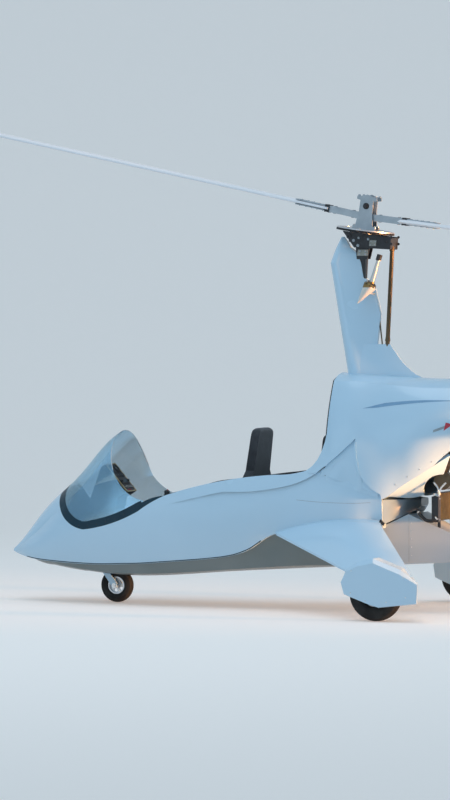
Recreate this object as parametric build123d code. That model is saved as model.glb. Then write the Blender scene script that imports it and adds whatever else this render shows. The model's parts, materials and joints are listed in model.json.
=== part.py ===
# Two-seat tandem gyrocopter, built in millimetres
# X points forward to the nose, Y to port, Z up
# The origin is on the ground straight under the rotor's teeter bolt
import os
from math import cos, radians, sin

from build123d import *

os.makedirs("parts", exist_ok=True)
NODES = {}

# Driving sizes
WALL = 14.0
GLASS = 4.0
LIP = 34.0
TEETER_Z = 2635.0
DISC_TILT = 7.4
REST_TEETER = 2.1
CONE_ANGLE = 2.45
ROTOR_RADIUS = 4250.0
BLADE_CHORD = 200.0
BLADE_THICK = 25.0
UNDERSLING = 70.0
MAIN_X = -377.0
MAIN_Y = 880.0
MAIN_RADIUS = 175.0
MAIN_WIDTH = 96.0
NOSE_X = 1784.0
NOSE_RADIUS = 114.0
NOSE_WIDTH = 70.0
STEER_X = 1866.0
PROP_X = -1060.0
PROP_Z = 1330.0
PROP_RADIUS = 860.0
TAIL_WHEEL_X = -2310.0
TAIL_WHEEL_RADIUS = 75.0
TAIL_WHEEL_Z = 150.0
RUDDER_X = -2190.0
SHAFT_GAP = 0.05


def segment(a, b):
    return Edge.make_line(Vector(*a), Vector(*b))


def arc(a, m, b):
    return Edge.make_three_point_arc(Vector(*a), Vector(*m), Vector(*b))


def section(x, z_low, y_low, y_mid, z_mid, y_high, z_high, z_top):
    # A closed body section: flat foot, one bulging arc up each side, one arc over the top
    return Wire([
        segment((x, y_low, z_low), (x, -y_low, z_low)),
        arc((x, -y_low, z_low), (x, -y_mid, z_mid), (x, -y_high, z_high)),
        arc((x, -y_high, z_high), (x, 0, z_top), (x, y_high, z_high)),
        arc((x, y_high, z_high), (x, y_mid, z_mid), (x, y_low, z_low)),
    ])


def body_loft(rows, inset=0.0, foot=None):
    # The inset is one number, or a function of x for a skin that fades in
    wires = []
    for x, z_low, y_low, y_mid, z_mid, y_high, z_high, z_top in rows:
        step = inset(x) if callable(inset) else inset
        lift = step if foot is None else foot
        wires.append(section(x, z_low + lift, y_low - step, y_mid - step, z_mid, y_high - step, z_high,
                             z_top - step))
    return Solid.make_loft(wires)


def side_face(edges_2d):
    # Edges given in the side view as lists of two or three (x, z) points
    edges = []
    for points in edges_2d:
        full = [(x, 0.0, z) for x, z in points]
        edges.append(segment(*full) if len(full) == 2 else arc(*full))
    return Face(Wire(edges))


def side_prism(edges_2d, y0, y1):
    face = side_face(edges_2d).moved(Location((0, y0, 0)))
    return Solid.extrude(face, Vector(0, y1 - y0, 0))


def polygon_edges(points):
    return [[points[i], points[(i + 1) % len(points)]] for i in range(len(points))]


def side_plate(points, y0, y1):
    return side_prism(polygon_edges(points), y0, y1)


def block(x0, x1, y0, y1, z0, z1):
    return Solid.make_box(x1 - x0, y1 - y0, z1 - z0).moved(Location((x0, y0, z0)))


def rod(a, b, radius, end_radius=None):
    a = Vector(*a)
    b = Vector(*b)
    plane = Plane(origin=a, z_dir=b - a)
    if end_radius is None:
        return Solid.make_cylinder(radius, (b - a).length, plane)
    return Solid.make_cone(radius, end_radius, (b - a).length, plane)


def drum(x, y0, y1, z, radius):
    return rod((x, y0, z), (x, y1, z), radius)


def ball(centre, radius):
    return Solid.make_sphere(radius, Plane(Vector(*centre)), -90, 90)


def as_one(result):
    pieces = list(result) if isinstance(result, (list, tuple)) else [result]
    solids = [solid for piece in pieces for solid in piece.solids()]
    return solids[0] if len(solids) == 1 else Compound(solids)


def split_up(parts):
    return [solid for part in parts for solid in part.solids()]


def fuse(*parts):
    solids = split_up(parts)
    return as_one(solids[0].fuse(*solids[1:])) if len(solids) > 1 else solids[0]


def cut(shape, *tools):
    return as_one([solid.cut(*split_up(tools)) for solid in shape.solids()])


def common(shape, tool):
    found = []
    for solid in shape.solids():
        result = solid.intersect(tool)
        if result is not None:
            found.extend(list(result) if isinstance(result, (list, tuple)) else [result])
    return as_one(found)


def keep(name, shape):
    NODES[name] = as_one(shape)


def mirrored(shape):
    return shape.mirror(Plane.XZ)


# Body envelope, from the nose tip to the rear of the cockpit
#  x, foot z, foot y, mid y, mid z, shoulder y, shoulder z, top z
HULL_ROWS = [
    (2541, 325, 6, 8, 331, 6, 337, 342),
    (2500, 312, 32, 38, 338, 28, 354, 380),
    (2420, 297, 92, 102, 350, 74, 402, 468),
    (2320, 284, 146, 162, 366, 118, 466, 588),
    (2210, 277, 186, 210, 388, 164, 552, 700),
    (2100, 272, 216, 247, 412, 205, 640, 790),
    (1950, 268, 246, 287, 450, 252, 735, 940),
    (1800, 268, 268, 315, 480, 292, 800, 1100),
    (1640, 274, 286, 332, 500, 310, 838, 1190),
    (1480, 283, 300, 346, 520, 322, 860, 1215),
    (1150, 312, 320, 364, 560, 333, 890, 1225),
    (880, 343, 330, 368, 600, 334, 900, 1235),
    (700, 400, 336, 367, 640, 333, 920, 1240),
    (620, 452, 340, 366, 680, 332, 930, 1240),
    (540, 496, 343, 364, 700, 330, 940, 1240),
    (450, 515, 343, 361, 715, 327, 950, 1240),
    (320, 520, 338, 355, 730, 320, 970, 1240),
    (150, 523, 328, 344, 740, 312, 990, 1235),
    (-30, 534, 312, 328, 740, 303, 980, 1225),
    (-205, 552, 290, 306, 740, 292, 960, 1210),
]
LIP_STEP = 12.0


def lip_step(x):
    # The proud lip under the coaming fades out towards the windshield
    return 2.0 - (LIP_STEP + 2.0) * min(1.0, max(0.0, (1420.0 - x) / 500.0))


envelope = body_loft(HULL_ROWS)
inner = body_loft([(2380, 292, 114, 126, 356, 92, 430, 520)] + HULL_ROWS[4:-1] + [(-225,) + HULL_ROWS[-1][1:]],
                  WALL)
glass_inner = body_loft(HULL_ROWS[2:11], GLASS)
lip_inner = body_loft(HULL_ROWS[6:-1], WALL + LIP)
lip_outer = body_loft(HULL_ROWS[8:-1], lip_step)
shell = cut(envelope, inner)

# Side-view lines: windshield band outside and inside, cockpit coaming, cowl split, crease under the lip
BAND_OUT = [[(2149, 744), (2053, 560), (1903, 499)], [(1903, 499), (1690, 545), (1488, 631)],
            [(1488, 631), (1395, 690), (1295, 738)]]
BAND_IN = [[(2112, 785), (2031, 594), (1903, 534)], [(1903, 534), (1690, 582), (1500, 664)],
           [(1500, 664), (1400, 716), (1295, 738)]]
COAMING = [[(1295, 738), (900, 840), (517, 889)], [(517, 889), (380, 900), (285, 925)]]
SPLIT = [[(285, 925), (40, 845), (-205, 770)]]
CREASE = [[(1500, 612), (1190, 700), (868, 772)], [(868, 772), (600, 786), (433, 817)],
          [(433, 817), (330, 850), (235, 902)]]


def above(lines, first, last):
    return side_prism(lines + [[last, (last[0], 2000)], [(last[0], 2000), (first[0] + 600, 2000)],
                               [(first[0] + 600, 2000), first]], -600, 600)


over_hull = above(BAND_OUT + COAMING + SPLIT, (2149, 744), (-205, 770))
over_band = above(BAND_IN, (2112, 785), (1295, 738))
behind_glass = side_prism([[(1400, 700), (1606, 776), (1692, 927)], [(1692, 927), (1714, 1012), (1729, 1150)],
                           [(1729, 1150), (1729, 1300)], [(1729, 1300), (1200, 1300)], [(1200, 1300), (1200, 700)],
                           [(1200, 700), (1400, 700)]], -600, 600)
behind_hull = block(-600, -204, -600, 600, 0, 2000)

lip_zone = side_prism([[(1480, 600), (1295, 712)], [(1295, 712), (900, 814), (517, 863)], [(517, 863), (300, 893)],
                       [(300, 893), (300, 1300)], [(300, 1300), (1480, 1300)], [(1480, 1300), (1480, 600)]],
                      -600, 600)
lip = cut(common(cut(inner, lip_inner), lip_zone), over_hull)
crease_zone = side_prism(CREASE + [[(235, 902), (235, 1100)], [(235, 1100), (1500, 1100)],
                                   [(1500, 1100), (1500, 612)]], -600, 600)
outer_lip = cut(common(cut(lip_outer, envelope), crease_zone), over_hull)

# Tapering tail of the tub, closing it ahead of the engine
TAPER_ROWS = [
    (-204, 577, 276, 292, 660, 282, 735, 768),
    (-260, 605, 236, 250, 672, 236, 735, 757),
    (-330, 641, 150, 164, 694, 156, 736, 748),
    (-392, 692, 64, 74, 715, 66, 738, 744),
]
taper_outer = body_loft(TAPER_ROWS)
taper = cut(taper_outer, body_loft([(-200,) + TAPER_ROWS[0][1:]] + TAPER_ROWS[1:3] +
                                   [(-352, 668, 118, 130, 708, 120, 730, 738)], 10))
tub = fuse(cut(shell, over_hull), lip, outer_lip, taper)
band_zone = side_plate([(1297, 400), (2300, 400), (2300, 1300), (1297, 1300)], -600, 600)
band = cut(common(common(shell, over_hull), band_zone), over_band)
glass = cut(common(cut(envelope, glass_inner), over_band), behind_glass)

# Belly pan below the chine, with the nose wheel's well
#  x, top z, top y, low y, low z, centre z
PAN_ROWS = [
    (2230, 300, 150, 90, 262, 238),
    (2050, 300, 190, 140, 235, 212),
    (1803, 300, 235, 185, 215, 190),
    (1500, 310, 268, 215, 210, 187),
    (1150, 335, 290, 235, 232, 212),
    (800, 420, 305, 245, 262, 240),
    (520, 560, 325, 245, 285, 258),
    (200, 600, 320, 235, 300, 278),
    (-150, 620, 285, 200, 318, 300),
]


def pan_section(x, z_top, y_top, y_low, z_low, z_mid):
    return Wire([
        segment((x, y_top, z_top), (x, -y_top, z_top)),
        segment((x, -y_top, z_top), (x, -y_low, z_low)),
        arc((x, -y_low, z_low), (x, 0, z_mid), (x, y_low, z_low)),
        segment((x, y_low, z_low), (x, y_top, z_top)),
    ])


pan_solid = Solid.make_loft([pan_section(*row) for row in PAN_ROWS])
pan_hollow = Solid.make_loft([
    pan_section(x, z_top + 60, y_top - WALL, y_low - WALL, z_low + WALL, z_mid + WALL)
    for x, z_top, y_top, y_low, z_low, z_mid in PAN_ROWS[2:-1] + [(-170,) + PAN_ROWS[-1][1:]]])
WELL_WALL = 6.0
WELL = (1640, 1990, 115, 262)
well_box = block(WELL[0] - WELL_WALL, WELL[1] + WELL_WALL, -WELL[2] - WELL_WALL, WELL[2] + WELL_WALL, 150, 400)
wheel_well = block(WELL[0], WELL[1], -WELL[2], WELL[2], 150, 400)
pan_walls = cut(common(pan_solid, well_box), wheel_well)
pan = cut(fuse(cut(pan_solid, pan_hollow), pan_walls), envelope, wheel_well)
keep("belly_pan", pan)

# Engine cowl, open in front and below, with an underside that turns in towards the engine
#  x, crease z, crease y, side y, side z, shoulder y, shoulder z, top z
COWL_ROWS = [
    (168, 880, 350, 300, 1245, 188, 1500, 1552),
    (60, 835, 349, 304, 1230, 188, 1497, 1548),
    (-70, 785, 341, 308, 1200, 188, 1490, 1542),
    (-205, 740, 322, 310, 1140, 186, 1478, 1532),
    (-300, 800, 300, 306, 1150, 184, 1470, 1526),
    (-400, 868, 284, 300, 1170, 180, 1462, 1520),
    (-520, 945, 256, 282, 1215, 170, 1459, 1517),
    (-650, 1030, 222, 257, 1262, 156, 1456, 1512),
    (-790, 1112, 168, 214, 1300, 134, 1449, 1500),
    (-920, 1195, 112, 166, 1335, 106, 1438, 1482),
]
#  x, crease z, crease y, inner z, inner y of the turned-in underside
UNDERSIDE_ROWS = [
    (-196, 742, 316, 742, 262),
    (-300, 802, 296, 747, 192),
    (-400, 870, 280, 754, 132),
    (-520, 947, 251, 812, 112),
    (-650, 1033, 216, 907, 96),
    (-790, 1115, 160, 1042, 78),
    (-900, 1186, 112, 1150, 66),
]


def cowl_section(row, inset, foot):
    x, z_low, y_low, y_mid, z_mid, y_high, z_high, z_top = row
    return section(x, z_low + foot, y_low - inset, y_mid - inset, z_mid, y_high - inset, z_high, z_top - inset)


def cowl_loft(rows, inset=0.0, foot=None):
    return Solid.make_loft([cowl_section(row, inset, inset if foot is None else foot) for row in rows])


cowl_outer = cowl_loft(COWL_ROWS)
front = COWL_ROWS[0]
cowl_inner = cowl_loft(COWL_ROWS, WALL, -40)
underside = Solid.make_loft([Wire([
    segment((x, y_edge, z_edge), (x, y_in, z_in)),
    segment((x, y_in, z_in), (x, y_in, z_in + WALL)),
    segment((x, y_in, z_in + WALL), (x, y_edge - 6, z_edge + WALL + 4)),
    segment((x, y_edge - 6, z_edge + WALL + 4), (x, y_edge, z_edge)),
]) for x, z_edge, y_edge, z_in, y_in in UNDERSIDE_ROWS])
below_split = side_prism(SPLIT + [[(-205, 770), (-205, 400)], [(-205, 400), (285, 400)],
                                  [(285, 400), (285, 925)]], -600, 600)
VALLEY_DEPTH = 18.0
valley = side_prism([[(-32, 1133), (100, 1010), (235, 902)], [(235, 902), (235, 840)], [(235, 840), (-205, 700)],
                     [(-205, 700), (-205, 772)], [(-205, 772), (-84, 872), (-32, 1133)]], -600, 600)
valley_back = common(cut(cowl_outer, cowl_loft(COWL_ROWS, VALLEY_DEPTH + WALL, -40)),
                     side_plate([(-250, 700), (260, 700), (260, 940), (-10, 1160), (-90, 1160), (-250, 840)],
                                -600, 600))
valley_cut = common(cut(cowl_outer, cowl_loft(COWL_ROWS, VALLEY_DEPTH, -40)), valley)
engine_port = (-572, 762, 140)
cowl = fuse(cut(cowl_outer, cowl_inner), valley_back, underside, mirrored(underside))
cowl = cut(cowl, valley_cut, below_split, drum(engine_port[0], -600, 600, engine_port[1], engine_port[2]),
           envelope, taper_outer)

# Mast post, raked three degrees, standing on the cockpit floor
MAST_FOOT = (133, 0, 500)
MAST_TOP = (38, 0, 2350)
MAST_LONG = 60.0
MAST_WIDE = 50.0


def mast_bar(long, wide, foot_z, top_z):
    rake = (MAST_TOP[0] - MAST_FOOT[0]) / (MAST_TOP[2] - MAST_FOOT[2])
    x0 = MAST_FOOT[0] + rake * (foot_z - MAST_FOOT[2])
    x1 = MAST_FOOT[0] + rake * (top_z - MAST_FOOT[2])
    return side_plate([(x0 - long / 2, foot_z), (x0 + long / 2, foot_z), (x1 + long / 2, top_z),
                       (x1 - long / 2, top_z)], -wide / 2, wide / 2)


mast = mast_bar(MAST_LONG, MAST_WIDE, 400, 2350)
mast_bore = mast_bar(MAST_LONG - 8, MAST_WIDE - 8, 300, 2300)
mast_post = cut(fuse(common(cut(mast, block(-300, 400, -100, 100, 900, 2500)), inner),
                     cut(mast, block(-300, 400, -100, 100, 300, 900))), mast_bore)
keep("mast_post", mast_post)
cowl = cut(cowl, mast_bar(MAST_LONG + 2, MAST_WIDE + 2, 400, 2300))

# Mast fairing: teardrop sections by height
#  z, front x, rear x, half width, half width at the rear edge
SKIRT_ROWS = [
    (1500, 128, -430, 74, 9),
    (1560, 138, -305, 70, 9),
    (1640, 152, -222, 62, 9),
    (1736, 168, -150, 52, 9),
]
MAST_ROWS = [
    (1500, 128, -100, 74, 9),
    (1740, 170, -66, 60, 10),
    (1930, 203, -88, 54, 16),
    (2100, 232, -46, 50, 24),
    (2170, 244, 24, 48, 29),
    (2265, 261, 42, 44, 29),
]
CROWN_ROWS = [
    (2265, 261, 42, 44, 29),
    (2325, 238, 66, 40, 28),
    (2364, 222, 119, 33, 20),
    (2436, 186, 166, 8, 5),
]


def teardrop(z, x_front, x_rear, half, tail):
    x_wide = x_front - half * 1.5
    return Wire([
        arc((x_wide, -half, z), (x_front, 0, z), (x_wide, half, z)),
        segment((x_wide, half, z), (x_rear, tail, z)),
        segment((x_rear, tail, z), (x_rear, -tail, z)),
        segment((x_rear, -tail, z), (x_wide, -half, z)),
    ])


skirt = Solid.make_loft([teardrop(*row) for row in SKIRT_ROWS])
stem = Solid.make_loft([teardrop(*row) for row in MAST_ROWS], True)
crown = Solid.make_loft([teardrop(*row) for row in CROWN_ROWS], True)
fairing = cut(fuse(skirt, stem, crown), cowl_outer, mast)

# Cockpit bulkhead, behind the rear seat and ahead of the mast
bulkhead = block(168, 180, -400, 400, 300, 1480)
bulkhead_low = cut(common(bulkhead, inner), over_hull)
bulkhead_high = common(block(168, 180, -400, 400, 870, 1540), cut(cowl_loft(
    [(195,) + front[1:], (150,) + front[1:]], WALL, -20), below_split))
keep("bulkhead", fuse(bulkhead_low, bulkhead_high))

hull = tub
keep("windshield_frame", band)
keep("windshield", glass)


# Seats: a padded L seen from the side, with a narrower rounded headrest part above the coaming
def seat(base_front, base_rear, back_top, thick, half, waist, top_half):
    (fx, fz), (rx, rz), (tx, tz) = base_front, base_rear, back_top
    cushion = side_prism([[(fx, fz), (fx + 25, fz - 45), (fx, fz - thick)],
                          [(fx, fz - thick), (rx, rz - thick)],
                          [(rx, rz - thick), (rx - thick, rz - thick)],
                          [(rx - thick, rz - thick), (tx - thick, tz)],
                          [(tx - thick, tz), (tx - thick / 2, tz + 32), (tx, tz)],
                          [(tx, tz), (rx, rz)],
                          [(rx, rz), (fx, fz)]], -half, half)
    round_top = 60.0
    corner = round_top * (1 - cos(radians(45)))
    outline = Wire([
        segment((0, -half, 0), (0, half, 0)),
        segment((0, half, 0), (0, half, waist - 70)),
        segment((0, half, waist - 70), (0, top_half + 14, waist)),
        segment((0, top_half + 14, waist), (0, top_half, tz + 30 - round_top)),
        arc((0, top_half, tz + 30 - round_top), (0, top_half - corner, tz + 30 - corner),
            (0, top_half - round_top, tz + 30)),
        segment((0, top_half - round_top, tz + 30), (0, round_top - top_half, tz + 30)),
        arc((0, round_top - top_half, tz + 30), (0, corner - top_half, tz + 30 - corner),
            (0, -top_half, tz + 30 - round_top)),
        segment((0, -top_half, tz + 30 - round_top), (0, -top_half - 14, waist)),
        segment((0, -top_half - 14, waist), (0, -half, waist - 70)),
        segment((0, -half, waist - 70), (0, -half, 0)),
    ])
    return common(cushion, Solid.extrude(Face(outline), Vector(1800, 0, 0)))


FRONT_SEAT = ((1290, 478), (870, 430), (772, 1150), 58, 205, 900, 128)
REAR_SEAT = ((640, 668), (290, 640), (262, 1120), 68, 200, 1010, 150)
front_seat = common(fuse(seat(*FRONT_SEAT), block(850, 1250, -150, 150, 300, 400)), fuse(
    inner, block(600, 1200, -300, 300, 1000, 1400)))
rear_seat = common(fuse(seat(*REAR_SEAT), block(300, 600, -150, 150, 420, 620)), fuse(
    inner, block(181, 700, -300, 300, 1000, 1400)))
rear_seat = cut(rear_seat, block(0, 180, -400, 400, 300, 1600))
keep("front_seat", front_seat)
keep("rear_seat", rear_seat)

# Instrument pod on its pedestal, and the pedals and sticks on the floor
pod = side_plate([(1745, 700), (1680, 742), (1836, 922), (1872, 904), (1965, 640), (1910, 575), (1770, 575)],
                 -78, 78)
pod_cheek = side_plate([(1750, 712), (1696, 748), (1838, 910), (1866, 898), (1950, 645), (1905, 590), (1775, 590)],
                       -90, 90)
pod_room = side_plate([(1765, 712), (1704, 749), (1834, 899), (1856, 890), (1990, 650), (1990, 560), (1800, 560)],
                      -70, 70)
pod = fuse(cut(fuse(pod, pod_cheek), pod_room), block(1775, 1812, -50, 50, 200, 600))
pod = common(common(pod, glass_inner), inner)
keep("instrument_pod", pod)

front_stick = common(fuse(rod((1400, 0, 250), (1420, 0, 640), 11), rod((1419, 0, 620), (1425, 0, 740), 19)), inner)
rear_stick = common(fuse(rod((694, 0, 350), (698, 0, 740), 11), rod((698, 0, 720), (700, 0, 840), 19)), inner)
keep("control_sticks", as_one([front_stick, rear_stick]))
pedals = []
for x, half in ((2010, 120), (1395, 250)):
    for side in (1, -1):
        y = side * (70 if x > 1900 else 262)
        pedals.append(common(fuse(block(x - 8, x + 8, y - 28, y + 28, 330, 470),
                                  block(x - 5, x + 5, y - 8, y + 8, 200, 340)), inner))
keep("pedals", as_one(pedals))

# Stub wings with their wheel spats, port side built and mirrored
#  y, leading x, leading z, trailing x, trailing z, thickness
WING_ROWS = [
    (300, 548, 522, -196, 602, 84),
    (365, 500, 502, -219, 575, 80),
    (770, -51, 343, -536, 345, 56),
    (866, -181, 306, -611, 290, 50),
]


def wing_section(y, x_lead, z_lead, x_trail, z_trail, thick):
    nose = 7.0
    tail = 3.0
    x_mid = x_lead + 0.42 * (x_trail - x_lead)
    z_mid = z_lead + 0.42 * (z_trail - z_lead)
    return Wire([
        segment((x_lead, y, z_lead - nose), (x_lead, y, z_lead + nose)),
        arc((x_lead, y, z_lead + nose), (x_mid, y, z_mid + 0.6 * thick), (x_trail, y, z_trail + tail)),
        segment((x_trail, y, z_trail + tail), (x_trail, y, z_trail - tail)),
        arc((x_trail, y, z_trail - tail), (x_mid, y, z_mid - 0.4 * thick), (x_lead, y, z_lead - nose)),
    ])


wing = Solid.make_loft([wing_section(*row) for row in WING_ROWS], True)
SPAT_IN = MAIN_Y - MAIN_WIDTH / 2 - 24
SPAT_OUT = MAIN_Y + MAIN_WIDTH / 2 + 26
#  outer face x, z, fuller section behind it x, z, inner side x, z
SPAT_POINTS = [
    (-200, 316, -196, 330, -196, 330), (-165, 246, -158, 246, -166, 246), (-186, 172, -180, 168, -180, 168),
    (-222, 158, -216, 152, -216, 152), (-349, 112, -349, 104, -349, 104), (-416, 93, -416, 86, -416, 88),
    (-673, 123, -668, 118, -606, 116), (-678, 242, -672, 254, -612, 262), (-560, 304, -560, 332, -540, 336),
    (-382, 372, -372, 400, -372, 400), (-276, 350, -266, 374, -266, 374),
]


def spat_section(y, points):
    return Wire([segment((x0, y, z0), (x1, y, z1)) for (x0, z0), (x1, z1) in zip(points, points[1:] + points[:1])])


spat_face = [row[0:2] for row in SPAT_POINTS]
spat_full = [row[2:4] for row in SPAT_POINTS]
spat_inner = [row[4:6] for row in SPAT_POINTS]
spat_root = [(0.92 * x - 30, min(z, 0.4 * z + 192)) for x, z in spat_inner]
spat = Solid.make_loft([spat_section(SPAT_IN - 46, spat_root), spat_section(SPAT_IN + 4, spat_inner),
                        spat_section(SPAT_OUT - 24, spat_full), spat_section(SPAT_OUT, spat_face)], True)
wheel_room = drum(MAIN_X, SPAT_IN + 12, SPAT_OUT - 12, MAIN_RADIUS, MAIN_RADIUS + 11)
wheel_room = fuse(wheel_room, block(MAIN_X - 186, MAIN_X + 186, SPAT_IN + 12, SPAT_OUT - 12, 0, MAIN_RADIUS))
inner_gap = side_plate([(MAIN_X - 150, 0), (MAIN_X + 150, 0), (MAIN_X + 150, 190), (MAIN_X + 80, 262),
                        (MAIN_X - 80, 262), (MAIN_X - 150, 190)], SPAT_IN - 5, SPAT_IN + 13)
root_trim = block(-300, 700, 250, 309, 300, 700)
wing = cut(fuse(wing, spat), wheel_room, inner_gap, envelope, pan_solid, root_trim)
AXLE_R = 12.0
axle = fuse(drum(MAIN_X, MAIN_Y - 46, SPAT_OUT - 4, MAIN_RADIUS, AXLE_R),
            rod((MAIN_X, SPAT_IN - 6, MAIN_RADIUS), (MAIN_X, MAIN_Y - 46, MAIN_RADIUS), 22),
            side_plate([(MAIN_X - 26, MAIN_RADIUS - 24), (MAIN_X + 26, MAIN_RADIUS - 24), (MAIN_X + 34, 330),
                        (MAIN_X - 34, 330)], SPAT_IN - 12, SPAT_IN + 2))
wing = cut(wing, axle)
keep("stub_wing_left", wing)
keep("stub_wing_right", mirrored(wing))
keep("axle_left", axle)
keep("axle_right", mirrored(axle))


# Wheels: tyre turned from a rounded section, rim with a bore that runs on its axle
def tyre(x, y, z, radius, width, rim_radius):
    half = width / 2
    r = radius
    shoulder = r - 0.28 * width
    lower = rim_radius
    profile = Wire([
        segment((lower, 0, -half * 0.62), (lower, 0, half * 0.62)),
        segment((lower, 0, half * 0.62), (lower + 8, 0, half * 0.9)),
        arc((lower + 8, 0, half * 0.9), ((lower + shoulder) / 2 + 4, 0, half), (shoulder, 0, half * 0.86)),
        arc((shoulder, 0, half * 0.86), (r, 0, 0), (shoulder, 0, -half * 0.86)),
        arc((shoulder, 0, -half * 0.86), ((lower + shoulder) / 2 + 4, 0, -half), (lower + 8, 0, -half * 0.9)),
        segment((lower + 8, 0, -half * 0.9), (lower, 0, -half * 0.62)),
    ])
    ring = Solid.revolve(Face(profile), 360, Axis.Z)
    return ring.rotate(Axis.X, 90).moved(Location((x, y, z)))


def rim(x, y, z, rim_radius, width, bore, spokes):
    half = width / 2 * 0.62
    barrel = cut(drum(0, -half, half, 0, rim_radius), drum(0, -half - 1, half + 1, 0, rim_radius - 9))
    hub = drum(0, -half + 2, half - 2, 0, bore + 12)
    disc = drum(0, -6, 6, 0, rim_radius - 5)
    for i in range(spokes):
        angle = 360 / spokes * i
        hole = drum(rim_radius * 0.60, -9, 9, 0, rim_radius * 0.2)
        disc = cut(disc, hole.rotate(Axis.Y, angle))
    return cut(fuse(barrel, disc, hub), drum(0, -width, width, 0, bore)).moved(Location((x, y, z)))


MAIN_RIM = 82.0
keep("main_tyre_left", tyre(MAIN_X, MAIN_Y, MAIN_RADIUS, MAIN_RADIUS, MAIN_WIDTH, MAIN_RIM))
keep("main_rim_left", rim(MAIN_X, MAIN_Y, MAIN_RADIUS, MAIN_RIM, MAIN_WIDTH, AXLE_R + SHAFT_GAP, 6))
keep("main_tyre_right", mirrored(NODES["main_tyre_left"]))
keep("main_rim_right", mirrored(NODES["main_rim_left"]))

NOSE_AXLE = 9.0
TOW_BORE = 5.0
NOSE_RIM = 59.0
keep("nose_tyre", tyre(NOSE_X, 0, NOSE_RADIUS, NOSE_RADIUS, NOSE_WIDTH, NOSE_RIM))
keep("nose_rim", rim(NOSE_X, 0, NOSE_RADIUS, NOSE_RIM, NOSE_WIDTH, NOSE_AXLE + SHAFT_GAP, 5))

# Nose fork: upright stem in the hull's floor tube, two raked legs, axle
FORK_Y = 46.0
STEM_R = 19.0
fork = rod((STEER_X, 0, 236), (STEER_X, 0, 400), STEM_R)
fork = fuse(fork, block(STEER_X - 24, STEER_X + 24, -FORK_Y - 10, FORK_Y + 10, 222, 240))
for side in (1, -1):
    leg = side_plate([(STEER_X - 22, 226), (STEER_X + 22, 226), (NOSE_X + 14, NOSE_RADIUS - 16),
                      (NOSE_X - 16, NOSE_RADIUS - 14), (NOSE_X - 16, NOSE_RADIUS + 16)],
                     side * FORK_Y - 5, side * FORK_Y + 5)
    fork = fuse(fork, leg)
fork = fuse(fork, drum(NOSE_X, -FORK_Y - 12, FORK_Y + 12, NOSE_RADIUS, NOSE_AXLE))
fork = cut(fork, drum(NOSE_X, -FORK_Y - 20, FORK_Y + 20, NOSE_RADIUS, TOW_BORE))
keep("nose_fork", fork)
steer_tube = rod((STEER_X, 0, 250), (STEER_X, 0, 395), STEM_R + 12)
steer_bore = rod((STEER_X, 0, 200), (STEER_X, 0, 500), STEM_R + SHAFT_GAP)
steer_brace = common(block(STEER_X - 48, STEER_X + 60, -9, 9, 262, 380), inner)
hull = cut(fuse(hull, common(steer_tube, envelope), steer_brace), steer_bore)
keep("hull", hull)

# Engine: flat four with its gearbox, hung on the mast bearers
CYLINDER_Z = 1190.0
#  x, side, the staggered barrels of a flat four
CYLINDERS = [(-470, 1), (-500, -1), (-650, 1), (-680, -1)]
engine_parts = [block(-790, -350, -88, 88, 1098, 1296), block(-740, -400, -64, 64, 1040, 1100),
                block(-770, -370, -52, 52, 1290, 1322),
                rod((-350, 0, 1214), (-322, 0, 1214), 82), rod((-790, 0, PROP_Z), (-905, 0, PROP_Z), 88),
                rod((-790, 0, 1216), (-890, 0, 1216), 74), block(-884, -790, -72, 72, 1216, PROP_Z),
                rod((-904, 0, PROP_Z), (-985, 0, PROP_Z), 46), rod((-984, 0, PROP_Z), (PROP_X - 50, 0, PROP_Z), 16),
                rod((-788, 70, 1120), (-640, 70, 1120), 33), rod((-372, -60, 1130), (-372, -60, 1056), 38),
                block(-640, -500, -66, 66, 1372, 1420), rod((-570, 0, 1300), (-570, 0, 1375), 34)]
for x, side in CYLINDERS:
    engine_parts.append(rod((x, side * 80, CYLINDER_Z), (x, side * 176, CYLINDER_Z), 54))
    for i in range(5):
        engine_parts.append(rod((x, side * (98 + 14 * i), CYLINDER_Z), (x, side * (102 + 14 * i), CYLINDER_Z), 66))
    engine_parts.append(rod((x + 36, side * 200, 1236), (x + 36, side * 128, 1330), 15))
    y0, y1 = sorted((side * 172, side * 214))
    engine_parts.append(block(x - 62, x + 62, y0, y1, CYLINDER_Z - 64, CYLINDER_Z + 60))
    y0, y1 = sorted((side * 212, side * 234))
    engine_parts.append(block(x - 24, x + 48, y0, y1, CYLINDER_Z - 48, CYLINDER_Z + 44))
for side in (1, -1):
    engine_parts.append(rod((-450, side * 128, 1330), (-700, side * 128, 1330), 21))
    engine_parts.append(rod((-700, side * 128, 1330), (-700, side * 60, 1395), 24))
    y0, y1 = sorted((side * 20, side * 84))
    engine_parts.append(block(-730, -630, y0, y1, 1368, 1420))
engine = fuse(*engine_parts)
keep("engine", engine)
mount = fuse(block(-321, -309, -110, 110, 1128, 1340), block(-321, -309, -110, 110, 990, 1128),
             rod((-312, 80, 1300), (100, 24, 1300), 11), rod((-312, -80, 1300), (100, -24, 1300), 11),
             rod((-312, 80, 1010), (110, 24, 1010), 11), rod((-312, -80, 1010), (110, -24, 1010), 11),
             rod((-312, 60, 1300), (108, 24, 1020), 9), rod((-312, -60, 1300), (108, -24, 1020), 9))
mount = cut(mount, mast, engine)
keep("engine_mount", mount)
exhaust_parts = [rod((-566, -150, 862), (-566, 150, 862), 60), rod((-600, -70, 832), (-720, -120, 790), 21)]
pipe_holes = [rod((-566, -160, 862), (-566, 160, 862), 68)]
for x, side in CYLINDERS:
    elbow = (x, side * 196, 1040)
    collector = (-566, side * 128, 900)
    exhaust_parts += [rod((x, side * 190, 1130), elbow, 17), rod(elbow, collector, 17), ball(elbow, 17)]
    pipe_holes += [rod((x, side * 196, 1130), elbow, 26), rod(elbow, collector, 26), ball(elbow, 26)]
exhaust = cut(fuse(*exhaust_parts), engine)
keep("exhaust", exhaust)
keep("engine_cowl", cut(cowl, *pipe_holes))
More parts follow.
